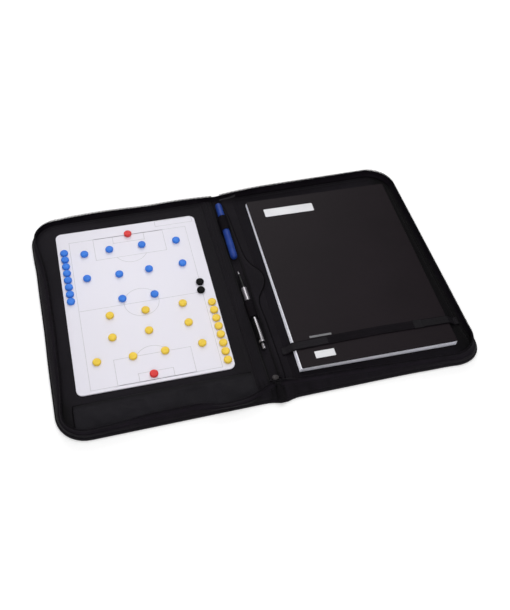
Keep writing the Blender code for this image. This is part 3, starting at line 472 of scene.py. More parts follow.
hardFinishes = {
    "sewingThread": {"dark": (0.006, 0.0048, 0.0068), "light": (0.013, 0.0108, 0.0145), "rough": 0.6,
                     "gloss": 0.2, "grain": 1800.0, "bump": 0.3},
    "toothPlastic": {"dark": (0.0032, 0.0022, 0.0040), "light": (0.0060, 0.0043, 0.0072), "rough": 0.55,
                     "gloss": 0.12},
    "boardEnamel": {"dark": (0.785, 0.765, 0.84), "light": (0.80, 0.78, 0.855), "rough": 0.42, "cloud": 5.0,
                    "spread": 0.03, "bump": 0.015, "grain": 700.0, "gloss": 0.3, "scuff": 40.0},
    "printedLine": {"dark": (0.55, 0.54, 0.58), "light": (0.6, 0.59, 0.63), "rough": 0.35, "bump": 0.03},
    "paperWhite": {"dark": (0.80, 0.80, 0.88), "light": (0.88, 0.88, 0.93), "rough": 0.9, "gloss": 0.2,
                   "grain": 1400.0, "bump": 0.2},
    "labelWhite": {"dark": (0.74, 0.74, 0.77), "light": (0.79, 0.79, 0.81), "rough": 0.55, "gloss": 0.3,
                   "bump": 0.08},
    "rulePaint": {"dark": (0.15, 0.15, 0.16), "light": (0.21, 0.21, 0.22), "rough": 0.55, "gloss": 0.3,
                  "bump": 0.08},
    "markerPlastic": {"dark": (0.009, 0.035, 0.215), "light": (0.015, 0.052, 0.28), "rough": 0.4,
                      "gloss": 0.25},
    "penPlastic": {"dark": (0.002, 0.002, 0.0024), "light": (0.004, 0.004, 0.0045), "rough": 0.3,
                   "gloss": 0.15},
    "brightMetal": {"dark": (0.35, 0.335, 0.355), "light": (0.43, 0.41, 0.435), "rough": 0.3, "metal": 1.0,
                    "stretch": (8, 1, 8), "bump": 0.04},
    "gunMetal": {"dark": (0.0034, 0.0027, 0.0039), "light": (0.0068, 0.0056, 0.0075), "rough": 0.68,
                 "gloss": 0.1, "bump": 0.12},
    # lighter than the slider's metal: worn metal with a painted highlight
    "wornMetalHighlight": {"dark": (0.020, 0.017, 0.018), "light": (0.044, 0.038, 0.040), "rough": 0.55, "gloss": 0.3,
                  "bump": 0.1, "cloud": 260.0},
    "pullRubber": {"dark": (0.0019, 0.0014, 0.0023), "light": (0.0040, 0.0031, 0.0046), "rough": 0.62,
                   "gloss": 0.09, "bump": 0.3},
    "bluePlayer": {"dark": (0.032, 0.18, 0.70), "light": (0.050, 0.235, 0.82), "rough": 0.45, "cloud": 90.0,
                   "gloss": 0.25},
    "yellowPlayer": {"dark": (0.82, 0.56, 0.05), "light": (0.92, 0.66, 0.08), "rough": 0.45, "cloud": 90.0,
                     "gloss": 0.25},
    "redPlayer": {"dark": (0.68, 0.040, 0.040), "light": (0.78, 0.066, 0.062), "rough": 0.45, "cloud": 90.0,
                  "gloss": 0.2},
    "blackPlayer": {"dark": (0.003, 0.003, 0.0035), "light": (0.0055, 0.0055, 0.0065), "rough": 0.45,
                    "cloud": 90.0, "gloss": 0.06},
}
for name, look in cloths.items():
    clothMaterial(name, look)
for name, look in ribbedCloths.items():
    ribbedMaterial(name, look)
for name, look in hardFinishes.items():
    mouldedMaterial(name, look)
leatheretteMaterial("padLeatherette", {"cells": 700.0, "dark": (0.0053, 0.0028, 0.0045),
                                       "light": (0.0089, 0.0052, 0.0077), "rough": 0.48, "gloss": 0.12})
print("materials ready")


# covers and the outer half of the spine

shell = {"halfWidth": 268.5, "halfDepth": 177.5, "corner": 38, "thickness": 3.6, "edgeRound": 1.2,
         "foldX": 18, "creaseDepth": 1.7, "creaseWidth": 2.6, "creaseUnder": 0.35, "seamInset": 9,
         "seamDepth": 0.3, "seamWidth": 1.3, "seamFrom": 27, "seamZ": 0.34, "swell": 0.1,
         "swellRate": 0.018, "slice": 14}
# the right half's near corner has sagged outwards, most at its foot; so have the near edge and the
# spine's near end, each given as a place along x, how far the sag reaches and how far it goes
sag = {"middle": (230.5, -139.5), "reach": 26, "push": 8, "inside": 14, "turn": math.radians(38),
       "edge": (206, 26, 0.9), "spine": (4, 11.5, 3.9)}
# how far the left flank has moved in, along y
flankIn = [(-178, 0), (-110, 0), (-62, 0.1), (-15, 0.9), (60, 0.9), (90, 1.1), (118, 0.1), (178, 0)]
# creases fan out from the slider over the near walls: place along x, half width, depth
creases = {"lines": [(-27, 5, 0.9), (-9, 2.2, 1.0), (-3.5, 2.0, 1.2), (6.5, 1.6, 1.1), (19, 4, 0.5),
                     (34, 6, 0.4)],
           "low": 3.9, "high": 14, "fan": 0.35, "farthest": -160}


def creaseDepth(spot):
    # 0 away from the spine's near end
    if spot.y > creases["farthest"]:
        return 0.0
    depth = 0.0
    for place, reach, deep in creases["lines"]:
        lean = place * (1 + creases["fan"] * (13 - spot.z) / 13)
        depth += deep * bell(spot.x - lean, reach)
    return depth


def sagged(spot):
    dx, dy = spot.x - sag["middle"][0], spot.y - sag["middle"][1]
    radius = math.hypot(dx, dy)
    low = 1 - 0.8 * ease((spot.z - 5) / 11)
    shift = Vector((0, 0, 0))
    if spot.x > 0 and radius > sag["inside"]:
        along = (math.atan2(dy, dx) + sag["turn"]) * shell["corner"]
        push = sag["push"] * bell(along, sag["reach"])
        push *= ease((radius - sag["inside"]) / (shell["corner"] - sag["inside"]))
        shift += Vector((dx, dy, 0)) * (push * low / radius)
    if spot.y < -150:
        share = ease((-150 - spot.y) / 20) * low
        for middle, reach, push in (sag["edge"], sag["spine"]):
            shift.y -= push * share * bell(spot.x - middle, reach)
        if creases["low"] < spot.z < creases["high"]:
            up = (spot.z - creases["low"]) / (creases["high"] - creases["low"])
            shift.y += creaseDepth(spot) * math.sin(math.pi * up)
    if spot.x < -200:
        shift.x += flow(flankIn, spot.y)[0] * ease((-200 - spot.x) / 50)
    return spot + shift


def sagCorner(bm):
    for vert in bm.verts:
        vert.co = sagged(vert.co)
    return bm


def outlineCorners(side, inset, inner):
    outer = side * (shell["halfWidth"] - inset)
    deep = shell["halfDepth"] - inset
    turn = shell["corner"] - inset
    corners = [(side * inner, -deep, 0), (outer, -deep, turn), (outer, deep, turn),
               (side * inner, deep, 0)]
    return corners if side > 0 else corners[::-1]


def outlineLine(side, inset, inner, z):
    # the line that runs inside the outline at that inset, from near spine to far spine
    half, deep = shell["halfWidth"] - inset, shell["halfDepth"] - inset
    radius = shell["corner"] - inset
    points = [Vector((side * inner, -deep, z))]
    for middleY, start in ((radius - deep, -90), (deep - radius, 0)):
        for step in range(13):
            angle = math.radians(start + 90 * step / 12)
            x = half - radius + radius * math.cos(angle)
            points.append(Vector((side * x, middleY + radius * math.sin(angle), z)))
    return points + [Vector((side * inner, deep, z))]


def edgeDistance(x, y):
    # how far inside the rounded outline a point of one half is
    half, deep, radius = shell["halfWidth"], shell["halfDepth"], shell["corner"]
    x, y = abs(x), abs(y)
    if x > half - radius and y > deep - radius:
        return radius - math.hypot(x - (half - radius), y - (deep - radius))
    return min(half - x, deep - y)


def makeShell(name, side, stands):
    bm = plate(outlineCorners(side, 0, 0), 0, shell["thickness"])
    softenRim(bm, [(0.35, 0), (0.8, 0)], 1)
    softenRim(bm, [(0.35, 0), (0.8, 0), (6, 0), (1.8, 0), (1.8, 0)], -1)
    fold = [9, 11, 13, 14.5, 16, 17, 18, 19, 20, 21.5, 23, 25]
    sliceGrid(bm, [side * x for x in fold + steps(40, 255, shell["slice"])], steps(-165, 165, shell["slice"]))
    for vert in bm.verts:
        x, y, z = vert.co
        edge = edgeDistance(x, y)
        rounding = max(0.0, 1 - edge / shell["edgeRound"])
        drop = shell["edgeRound"] * (1 - math.sqrt(max(0.0, 1 - rounding ** 2)))
        crease = bell(abs(x) - shell["foldX"], shell["creaseWidth"])
        if z > shell["thickness"] / 2:
            vert.co.z = z - drop - shell["creaseDepth"] * crease
        else:
            seam = shell["seamDepth"] * bell(edge - shell["seamInset"], shell["seamWidth"])
            rate = shell["swellRate"]
            swell = shell["swell"] * abs(noise.noise(Vector((x * rate, y * rate, side * 3))))
            vert.co.z = z + drop + shell["creaseUnder"] * crease + seam + swell
    piece = finishPiece(name, sagCorner(bm), "shellCloth", stands=stands, sharp=60)
    bendAtFold(piece, side, "shell")


makeShell("shellRight", 1, ("right_cover", "spine_cover"))
makeShell("shellLeft", -1, ("left_cover",))
for side, word in ((1, "Right"), (-1, "Left")):
    row = stitchRow(outlineLine(side, shell["seamInset"], shell["seamFrom"], shell["seamZ"]))
    sewPiece("shellSeam" + word, sagCorner(row), word.lower() + "_half")
print("covers made")


# side walls, zip tape and teeth

wall = {"baseInset": 2.6, "waistInset": 0.6, "foot": 3.7, "tapeRise": 5, "cloth": 1.0, "tape": 0.6,
        "hem": 6.5, "tapeWidth": 11, "spacing": 3.2, "toothPitch": 2.0, "tooth": (1.25, 3.0, 2.5),
        "welt": 1.3, "weltInset": 1.25, "curveSteps": 24, "rows": 14, "tapeRows": 7, "waistShare": 0.55,
        "tapeShare": 0.4, "seamGap": 1.4, "innerSeam": 1.6}
# unevenness along the wall: rate and noise row of the ripples, the fine ripples and the long waves,
# then how far the ripples and waves push the waist and the ripples push the tape
unevenness = {"rates": ((0.045, 0), (0.15, 2), (0.014, 5)), "fine": 0.5, "waist": (0.9, 0.8), "tape": 0.5}
# each rim: distance along the edge from the spine's near end, lean over the cover, height
rightRim = [
    (0, 19.5, 16.2), (23.5, 18.1, 16.2), (130, 11.7, 16.4), (230.5, 5.7, 16.2), (290.2, 2.4, 16.4),
    (430, 1.9, 16.6), (569.2, 1.8, 16.6), (628.9, 1.8, 16.8), (680, 2.2, 17.2), (785, 2.6, 17.6),
    (807, 2.8, 17.0), (826, 3.1, 16.0), (838, 3.4, 15.2), (849, 3.7, 14.2), (859.4, 4.0, 13.4),
]
leftRim = [
    (0, 19.3, 19.2), (9, 16.4, 18.6), (18, 12.4, 17.6), (27.5, 8.4, 16.8), (38, 5.0, 16.4),
    (48.5, 3.2, 16.2), (66, 2.4, 16.2), (77, 3.4, 16.2), (88, 7.0, 15.8), (99.5, 9.4, 15.6),
    (130, 10.0, 15.5), (165, 9.6, 15.6), (185, 7.2, 15.9), (215, 5.4, 16.1), (240, 5.2, 16.2),
    (265, 5.8, 16.0), (290.2, 9.0, 15.6), (332.2, 12.6, 14.2), (390, 13.8, 13.6), (450, 13.8, 13.4),
    (496.2, 13.6, 13.3), (532.2, 11.0, 14.2), (569.2, 6.5, 15.0), (601.2, 4.4, 13.9), (628.9, 3.6, 13.8),
    (655, 2.8, 15.2), (700, 2.6, 15.8), (755, 2.6, 13.8), (800, 2.8, 14.8), (826, 3.0, 14.2),
    (842, 3.4, 13.7), (859.4, 4.0, 13.2),
]
rightSeed, leftSeed = 3.0, 11.0
straight = shell["halfWidth"] - shell["corner"]
flank = 2 * (shell["halfDepth"] - shell["corner"])
cornerLength = shell["corner"] * math.pi / 2
pathLength = 2 * (straight + cornerLength) + flank


def edgePoint(distance):
    # spot on the right half's edge, and the way inwards
    if distance > pathLength / 2:
        spot, inward = edgePoint(pathLength - distance)
        return Vector((spot.x, -spot.y)), Vector((inward.x, -inward.y))
    if distance <= straight:
        return Vector((distance, -shell["halfDepth"])), Vector((0, 1))
    if distance <= straight + cornerLength:
        angle = (distance - straight) / shell["corner"] - math.pi / 2
        outward = Vector((math.cos(angle), math.sin(angle)))
        return Vector((straight, -flank / 2)) + outward * shell["corner"], -outward
    up = distance - straight - cornerLength - flank / 2
    return Vector((shell["halfWidth"], up)), Vector((-1, 0))


class WallColumn:
    # the section curve of a wall at one distance, measured from the rim down
    def __init__(self, rim, distance, seed):
        lean, height = flow(rim, distance)
        ripple, fine, wave = (noise.noise(Vector((distance * rate, seed, row)))
                              for rate, row in unevenness["rates"])
        ripple += unevenness["fine"] * fine
        push = unevenness["waist"][0] * ripple + unevenness["waist"][1] * wave
        rise = height - wall["foot"]
        base = Vector((wall["baseInset"], wall["foot"]))
        waist = Vector((wall["waistInset"] + push, wall["foot"] + wall["waistShare"] * rise))
        tape = Vector((lean + unevenness["tape"] * ripple,
                       height - min(wall["tapeRise"], wall["tapeShare"] * rise)))
        top = Vector((lean, height))
        self.point, self.inward = edgePoint(distance)
        self.curve = []
        for step in range(wall["curveSteps"] + 1):
            t = 1 - step / wall["curveSteps"]
            self.curve.append(base * (1 - t) ** 3 + waist * (3 * t * (1 - t) ** 2)
                              + tape * (3 * t * t * (1 - t)) + top * t ** 3)
        self.lengths = [0.0]
        for a, b in zip(self.curve, self.curve[1:]):
            self.lengths.append(self.lengths[-1] + (b - a).length)

    def at(self, down, proud=0.0):
        # proud is how far outside the curve; the second value is the way down the curve
        down = min(down, self.lengths[-1])
        last = wall["curveSteps"] - 1
        i = next((i for i in range(last) if down <= self.lengths[i + 1]), last)
        share = (down - self.lengths[i]) / max(1e-6, self.lengths[i + 1] - self.lengths[i])
        fall = (self.curve[i + 1] - self.curve[i]).normalized()
        spot = self.curve[i].lerp(self.curve[i + 1], share) + Vector((fall.y, -fall.x)) * proud
        flat = self.point + self.inward * spot.x
        return Vector((flat.x, flat.y, spot.y)), fall


def mirrorX(spot, side):
    return Vector((spot.x * side, spot.y, spot.z))


stations = steps(0, pathLength, wall["spacing"])


def wallBand(rim, side, seed, fromDown, toDown, rows, outer, inner):
    # a closed band of cloth on the wall's curve, between two lengths down from the rim
    columns = [WallColumn(rim, s, seed) for s in stations]
    ring = 2 * rows + 2

    def place(i, j):
        total = columns[i].lengths[-1]
        low, high = min(fromDown, total - 1), min(toDown, total)
        if j <= rows:
            share, proud, girth = j / rows, outer, j / rows
        elif j < ring:
            share, proud, girth = (ring - 1 - j) / rows, inner, (j - 1) / rows
        else:
            share, proud, girth = 0.0, outer, 2.0
        spot = columns[i].at(low + (high - low) * share, proud)[0]
        return mirrorX(spot, side), (stations[i], girth * (high - low))

    return clothGrid(len(stations) - 1, ring, place, closed=True)


def makeTeeth(rim, side, seed):
    template = block([-v / 2 for v in wall["tooth"]], [v / 2 for v in wall["tooth"]], 0.5, 1)
    places = []
    distance = 4 if side > 0 else 5
    while distance < pathLength - 6:
        column = WallColumn(rim, distance, seed)
        here, fall = column.at(0)
        ahead = WallColumn(rim, distance + 1, seed).at(0)[0]
        up = Vector((column.inward.x * -fall.x, column.inward.y * -fall.x, -fall.y))
        forward = mirrorX(ahead, side) - mirrorX(here, side)
        places.append(frameAt(mirrorX(here + up * 0.3, side), forward, mirrorX(up, side)))
        distance += wall["toothPitch"]
    return stamp(template, places)


def creaseShade(spot):
    # painted shade in the creases by the spine's near end, less of it around x 13
    pale = 0.3 * bell(spot.x - 13, 5)
    return creaseDepth(spot) - pale if spot.y < creases["farthest"] else 0.0


def makeWall(word, side, rim, seed):
    skin = wall["cloth"] / 2
    # from the hem down to the wall's foot
    band = wallBand(rim, side, seed, wall["hem"], math.inf, wall["rows"], skin, -skin)
    pieces = [finishPiece("wall" + word, sagCorner(markPaintedShade(band, creaseShade)), "wallCloth",
                          stands=(word.lower() + "_gusset",), sharp=50)]
    outer = 0.3 - skin
    band = wallBand(rim, side, seed, 0, wall["tapeWidth"], wall["tapeRows"], outer, outer - wall["tape"])
    pieces.append(finishPiece("zipTape" + word, sagCorner(band), "tapeCloth",
                              sharp=50))
    teeth = sagCorner(makeTeeth(rim, side, seed))
    pieces.append(finishPiece("zipTeeth" + word, teeth, "toothPlastic", outward=False))
    for down, proud, label in ((wall["hem"] + wall["seamGap"], skin + 0.05, "Outer"),
                               (wall["tapeWidth"] - wall["innerSeam"], -skin - 0.35, "Inner")):
        line = [mirrorX(WallColumn(rim, s, seed).at(down, proud)[0], side) for s in stations]
        pieces.append(sewPiece("wallStitch" + label + word, sagCorner(stitchRow(line))))
    line = []
    for s in stations:
        point, inward = edgePoint(s)
        spot = point + inward * wall["weltInset"]
        line.append(Vector((side * spot.x, spot.y, wall["foot"])))
    welt = sagCorner(tubeAlong(line, wall["welt"]))
    pieces.append(finishPiece("welt" + word, welt, "wallCloth"))
    for piece in pieces:
        bendAtFold(piece, side, "wall")


makeWall("Right", 1, rightRim, rightSeed)
makeWall("Left", -1, leftRim, leftSeed)

# loose end of the zip's tape, folded down inside the far end of the spine; its cloth is drawn far lighter
# than the tape as a painted highlight
tapeEnd = {"from": 829, "to": 853, "down": (3.5, 8.5), "drop": 3.0, "proud": -2.2, "inward": 1.5,
           "thick": 0.7, "columns": 24, "rows": 6}


def tapeEndSpot(i, j):
    share = i / tapeEnd["columns"]
    distance = tapeEnd["from"] + (tapeEnd["to"] - tapeEnd["from"]) * share
    near, far = tapeEnd["down"]
    down = near + (far - near) * j / tapeEnd["rows"] + tapeEnd["drop"] * share
    proud = tapeEnd["proud"] - tapeEnd["inward"] * share
    return WallColumn(rightRim, distance, rightSeed).at(down, proud)[0], (distance, down)


bm = clothGrid(tapeEnd["columns"], tapeEnd["rows"], tapeEndSpot)
bmesh.ops.solidify(bm, geom=bm.faces[:], thickness=tapeEnd["thick"])
bendAtFold(finishPiece("tapeEnd", bm, "tapeEndHighlight", sharp=50), 1, "wall")

# the cord in the zip's tape shows beside the slider
tapeCord = {"radius": 0.4, "line": [(6.5, -157.9, 18.0), (12, -159.0, 18.1), (18, -160.1, 17.9),
                                    (24, -161.3, 17.5), (29, -162.4, 16.9)]}
bm = tubeAlong([Vector(p) for p in tapeCord["line"]], tapeCord["radius"])
bendAtFold(finishPiece("zipTapeCord", bm, "webbingCloth"), 1, "wall")
print("side walls made")


# linings and the cloth over the spine

lining = {"inset": 4.4, "inner": 23.2, "low": 3.7, "top": 6.5, "seamInset": 4.2, "seamTop": 5.7,
          "seamFrom": 28, "sink": 1.3, "sinkWidth": 9, "slice": 9, "swellFade": 14,
          "swells": ((0.28, 0.022, 0.014), (0.12, 0.07, 0.06))}


def liningSwell(x, y, seed):
    # each swell has a height and a rate along x and y
    return sum(height * noise.noise(Vector((x * rateX, y * rateY, seed)))
               for height, rateX, rateY in lining["swells"])


def rightPaintedShade(spot):
    # painted shade under the right flank's wall
    return ease((spot.x - 238) / 12)


def leftPaintedShade(spot):
    # painted shade beside the spine, and under the wall by the near corner
    corner = ease((-244 - spot.x) / 8) * ease((-105 - spot.y) / 30)
    return 0.3 * ease((spot.x + 50) / 12) + 0.9 * corner


def makeLining(word, side, cloth, paintedShade):
    bm = plate(outlineCorners(side, lining["inset"], lining["inner"]), lining["low"], lining["top"] - 0.75)
    softenRim(bm, [(0.25, 0.35), (0.35, 0.25), (0.6, 0.15), (1.8, 0), (1.1, -0.35), (1.1, 0.35)])
    sliceGrid(bm, [side * x for x in steps(31, 255, lining["slice"])], steps(-166, 166, lining["slice"]))
    for vert in bm.verts:
        if vert.co.z > lining["top"] - 0.5:
            inside = edgeDistance(vert.co.x, vert.co.y) - lining["inset"]
            vert.co.z -= lining["sink"] * (1 - ease(inside / lining["sinkWidth"]))
            inside = min(inside, abs(vert.co.x) - lining["inner"])
            fade = min(1.0, inside / lining["swellFade"])
            vert.co.z += liningSwell(vert.co.x, vert.co.y, side * 4.0) * fade
    half = word.lower()
    finishPiece("lining" + word, sagCorner(markPaintedShade(bm, paintedShade)), cloth, half + "_half",
                (half + "_lining",), sharp=60)


# the right lining takes the darker copy of the lining cloth, painted shade
makeLining("Right", 1, "liningShadedCopy", rightPaintedShade)
makeLining("Left", -1, "liningCloth", leftPaintedShade)
for side, word in ((1, "Right"), (-1, "Left")):
    line = outlineLine(side, lining["inset"] + lining["seamInset"], lining["seamFrom"], lining["seamTop"])
    sewPiece("liningSeam" + word, sagCorner(stitchRow(line)), word.lower() + "_half")

spineCloth = {"edgeX": 26, "tuck": 5.7, "floor": 4.9, "level": 6.4, "crest": 8.6, "lip": 1.6,
              "trench": -8.2, "brink": 7.0, "puffFrom": -23.4, "nearY": -171, "farY": 171, "thickness": 0.9,
              "columns": 52, "rows": 90, "seam": (-27.6, -15.2), "seamGap": 4.4, "endFold": 5.4}


def seamX(y):
    # the seam crosses the cloth at a slant, from its place at the near end to its place at the far end
    share = (y - spineCloth["nearY"]) / (spineCloth["farY"] - spineCloth["nearY"])
    near, far = spineCloth["seam"]
    return near + (far - near) * share


def nearEnd(y):
    return ease((-140 - y) / 25)


def endFoldWave(x, y):
    return math.sin(2 * math.pi * (x + 0.12 * y) / spineCloth["endFold"])


def spineHeight(x, y):
    # puffed up on the left, then a sharp drop into the trench that the pens lie in
    floor, level, brink = spineCloth["floor"], spineCloth["level"], spineCloth["brink"]
    edge = spineCloth["trench"] + 0.5 * noise.noise(Vector((0, y * 0.03, 2.5)))
    z = floor
    if x < edge + spineCloth["lip"]:
        share = (x - spineCloth["puffFrom"]) / (edge - spineCloth["puffFrom"])
        share = min(1.0, max(0.0, share))
        z = level + (brink - level) * share
        z += (spineCloth["crest"] - brink) * math.sin(math.pi * share ** 0.8)
        for shift, depth, width in ((0, 0.8, 1.1), (spineCloth["seamGap"], 0.5, 1.0)):
            z -= depth * bell(x - seamX(y) - shift, width)
        z -= (z - floor) * ease((x - edge) / spineCloth["lip"])
    if x > 5:
        z = floor + (level - floor) * ease((x - 5) / 8)
    ends = nearEnd(y)
    z += (0.3 + 0.5 * ends) * noise.noise(Vector((x * 0.06, y * (0.02 + 0.05 * ends), 9.0)))
    z += 0.45 * ends * endFoldWave(x, y)
    tuck = ease((abs(x) - 22.5) / 2.5)
    return z + (spineCloth["tuck"] - 0.3 - z) * tuck


def spinePaintedShade(spot):
    # painted shade in the trench's left corner, under the flap and in the folds near the near end
    left = 0.95 * bell(spot.x - spineCloth["trench"] - 1.7, 2.2)
    right = 0.6 * bell(spot.x - 6.5, 1.6)
    return left + right + 0.35 * nearEnd(spot.y) * (1 - endFoldWave(spot.x, spot.y))


def makeSpineLining(word, side, stands):
    columns, rows = spineCloth["columns"], spineCloth["rows"]
    length = spineCloth["farY"] - spineCloth["nearY"]

    def place(i, j):
        x, y = side * spineCloth["edgeX"] * i / columns, spineCloth["nearY"] + length * j / rows
        return Vector((x, y, spineHeight(x, y))), (x, y)

    bm = markPaintedShade(clothSheet(columns, rows, place, spineCloth["thickness"]), spinePaintedShade)
    piece = finishPiece("spineLining" + word, bm, "liningFlow", stands=stands,
                        sharp=60)
    bendAtFold(piece, side, "spine")


makeSpineLining("Left", -1, ("pen_panel",))
makeSpineLining("Right", 1, ())
rowsOf = []
for shift in (0, spineCloth["seamGap"]):
    points = []
    for y in steps(spineCloth["nearY"] + 4, spineCloth["farY"] - 4, 6):
        x = seamX(y) + shift
        if -23 < x < spineCloth["trench"] - 1.5:
            points.append(Vector((x, y, spineHeight(x, y) + 0.08)))
    rowsOf.append(stitchRow(points))
bendAtFold(sewPiece("spineSeamLeft", joined(*rowsOf)), -1, "spine")

# flap along the right of the pens, with a half-round tab that reaches over the right lining
flap = {"near": -160, "far": 160, "root": 6.0, "rootZ": 5.2, "lift": 8.8, "fall": 1.1, "thickness": 0.9,
        "binding": 0.85, "columns": 22, "rows": 110, "flatWidth": 26.6, "flatArea": 0.0034,
        "rootWidth": 2.8, "wrinkle": (0.45, 0.05, 0.026), "endFade": 16}
# place along y, place of the edge along x
flapEdge = [(-160, 13.0), (-135, 13.9), (-60, 13.6), (-32, 12.8), (-22, 14.6), (-14, 18.6), (-4, 25.4),
            (5.4, 29.6), (14, 30.8), (22, 29.8), (30, 25.8), (38, 19.8), (47, 15.9), (58, 13.8),
            (90, 12.1), (130, 10.8), (160, 9.0)]


def flapSpot(i, j):
    across = i / flap["columns"]
    y = flap["near"] + (flap["far"] - flap["near"]) * j / flap["rows"]
    x = flap["root"] + (flow(flapEdge, y)[0] - flap["root"]) * across
    lifted = ease((x - flap["root"]) / flap["rootWidth"])
    rise = (flap["lift"] - flap["rootZ"]) * lifted - flap["fall"] * ease(2 * across - 1)
    height, rateX, rateY = flap["wrinkle"]
    rise += height * noise.noise(Vector((x * rateX, y * rateY, 4.0))) * lifted
    ends = ease((y - flap["near"]) / flap["endFade"]) * ease((flap["far"] - y) / flap["endFade"])
    return Vector((x, y, flap["rootZ"] + rise * ends)), (x, y)


bm = clothSheet(flap["columns"], flap["rows"], flapSpot, flap["thickness"])
# painted shade along the flap's root
markPaintedShade(bm, lambda spot: bell(spot.x - flap["root"], 1.2))
piece = finishPiece("spineFlap", bm, "liningFlow", sharp=60)
edgeLine = [flapSpot(flap["columns"], j)[0] - Vector((0, 0, 0.3)) for j in range(flap["rows"] + 1)]
# the flap's binding, coloured near black as a painted shadow line along its edge
binding = finishPiece("flapBindingShadow", tubeAlong(edgeLine, flap["binding"]), "bindingPaintedShadow")
seamLine = [flapSpot(flap["columns"] - 1.6, j)[0] + Vector((0, 0, 0.1)) for j in range(4, flap["rows"] - 3)]
seam = sewPiece("spineFlapSeam", stitchRow(seamLine))
for part in (piece, binding, seam):
    bendAtFold(part, 1, "spine")
print("linings made")


# slip pocket

pocket = {"left": -247, "right": -25, "near": -172, "mouthLeft": -131.5, "mouthRight": -133, "low": 6.0,
          "top": 7.6, "puff": 2.0, "hem": 6, "pressure": 4.0, "slack": 0.03, "cap": 2.4, "binding": 0.9}


def pocketShares(x, y):
    # how far along the pocket and how far up towards its mouth, from 0 to 1, and where the mouth is
    along = (x - pocket["left"]) / (pocket["right"] - pocket["left"])
    mouth = pocket["mouthLeft"] + (pocket["mouthRight"] - pocket["mouthLeft"]) * along
    return min(1.0, max(0.0, along)), (y - pocket["near"]) / (mouth - pocket["near"]), mouth


def makePocket():
    left, right, near = pocket["left"], pocket["right"], pocket["near"]
    corners = [(left, near + 8, 3), (left + 11, near, 6), (right, near + 3, 4),
               (right, pocket["mouthRight"], 1), (left, pocket["mouthLeft"], 1)]
    bm = plate(corners, pocket["low"], pocket["top"] - 0.5)
    softenRim(bm, [(0.3, 0.3), (0.5, 0.2)])
    sliceGrid(bm, steps(left + 4, right - 4, 4), steps(near + 4, -131, 1.95))
    for vert in bm.verts:
        if vert.co.z > pocket["low"] + 0.5:
            x, y = vert.co.x, vert.co.y
            along, up, mouth = pocketShares(x, y)
            swell = math.sin(math.pi * along) ** 0.3 if 0 < along < 1 else 0.0
            swell *= max(0.0, math.sin(math.pi * min(1.0, max(0.0, up * 0.72)))) ** 0.6
            crease = 0.7 * noise.noise(Vector((x * 0.026, y * 0.06, 2.0)))
            vert.co.z += (pocket["puff"] + crease - 0.4 * bell(mouth - y - pocket["hem"], 0.9)) * swell
    return bm


def settleCloth(piece, pinned):
    # blows the free cloth out a little between its pinned points, no farther than the cap
    before = [v.co.copy() for v in piece.data.vertices]
    group = piece.vertex_groups.new(name="pinned")
    group.add([v.index for v in piece.data.vertices if pinned(v.co / mm)], 1.0, "REPLACE")
    cloth = piece.modifiers.new("cloth", "CLOTH")
    cloth.settings.vertex_group_mass = "pinned"
    cloth.settings.use_pressure = True
    cloth.settings.uniform_pressure_force = pocket["pressure"]
    cloth.settings.shrink_min = -pocket["slack"]
    cloth.settings.effector_weights.gravity = 0.0
    for frameNumber in range(1, 21):
        scene.frame_set(frameNumber)
    settled = piece.evaluated_get(bpy.context.evaluated_depsgraph_get())
    after = [v.co.copy() for v in settled.data.vertices]
    piece.modifiers.remove(cloth)
    piece.vertex_groups.remove(group)
    scene.frame_set(1)
    for vert, old, new in zip(piece.data.vertices, before, after):
        step = new - old
        vert.co = old + step * min(1.0, pocket["cap"] * mm / max(step.length, 1e-9))


def pocketShade(spot):
    # painted shade just under the binding of the mouth
    mouth = pocketShares(spot.x, spot.y)[2]
    return 0.6 * bell(mouth - spot.y - 2, 2.2)


def pocketPinned(spot):
    # points that are sewn down, or stand in the hem of the mouth
    mouth = pocketShares(spot.x, spot.y)[2]
    border = min(spot.x - pocket["left"], pocket["right"] - spot.x, spot.y - pocket["near"] - 3)
    return spot.z < pocket["low"] + 0.8 or border < 2.5 or mouth - spot.y < pocket["hem"] + 1


bm = markPaintedShade(makePocket(), pocketShade)
piece = finishPiece("cardPocket", bm, "pocketCloth", stands=("card_pocket",),
                    sharp=60)
settleCloth(piece, pocketPinned)
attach(piece, "left_half")
# binding along the mouth, coloured near black as a painted shadow line
line = [Vector((pocket["left"] + 0.3, pocket["near"] + up, pocket["top"] - 0.2)) for up in (9, 22, 32)]
for x in steps(pocket["left"] + 1, pocket["right"] - 1, 4):
    line.append(Vector((x, pocketShares(x, 0)[2] - 0.2, pocket["top"] + 0.1)))
finishPiece("pocketBindingShadow", tubeAlong(line, pocket["binding"]), "bindingPaintedShadow", "left_half")
print("pocket made")


# magnet board with its printed pitch

board = {"corner": (-240.2, -119.3, 0), "turn": math.radians(-0.9), "left": 1.0, "width": 197.5,
         "height": 270.1, "low": 6.7, "top": 8.4, "radius": 8, "ink": 0.05, "line": 0.75}


def slab(x0, y0, x1, y1, radius, low, high, rounds):
    corners = [(x0, y0, radius), (x1, y0, radius), (x1, y1, radius), (x0, y1, radius)]
    return plate(corners, low, high, rounds)


bm = slab(board["left"], 0, board["width"], board["height"], board["radius"], board["low"],
          board["top"] - 0.3, 12)
softenRim(bm, [(0.12, 0.2), (0.25, 0.1)])
finishPiece("magnetBoard", placeOn(board, bm), "boardEnamel", "left_half", ("magnet_board",),
            sharp=35)
inkHalf, inkLow, inkHigh = board["line"] / 2, board["top"] - 0.05, board["top"] + board["ink"]


def inkStrip(x0, y0, x1, y1):
    return block((x0 - inkHalf, y0 - inkHalf, inkLow), (x1 + inkHalf, y1 + inkHalf, inkHigh))


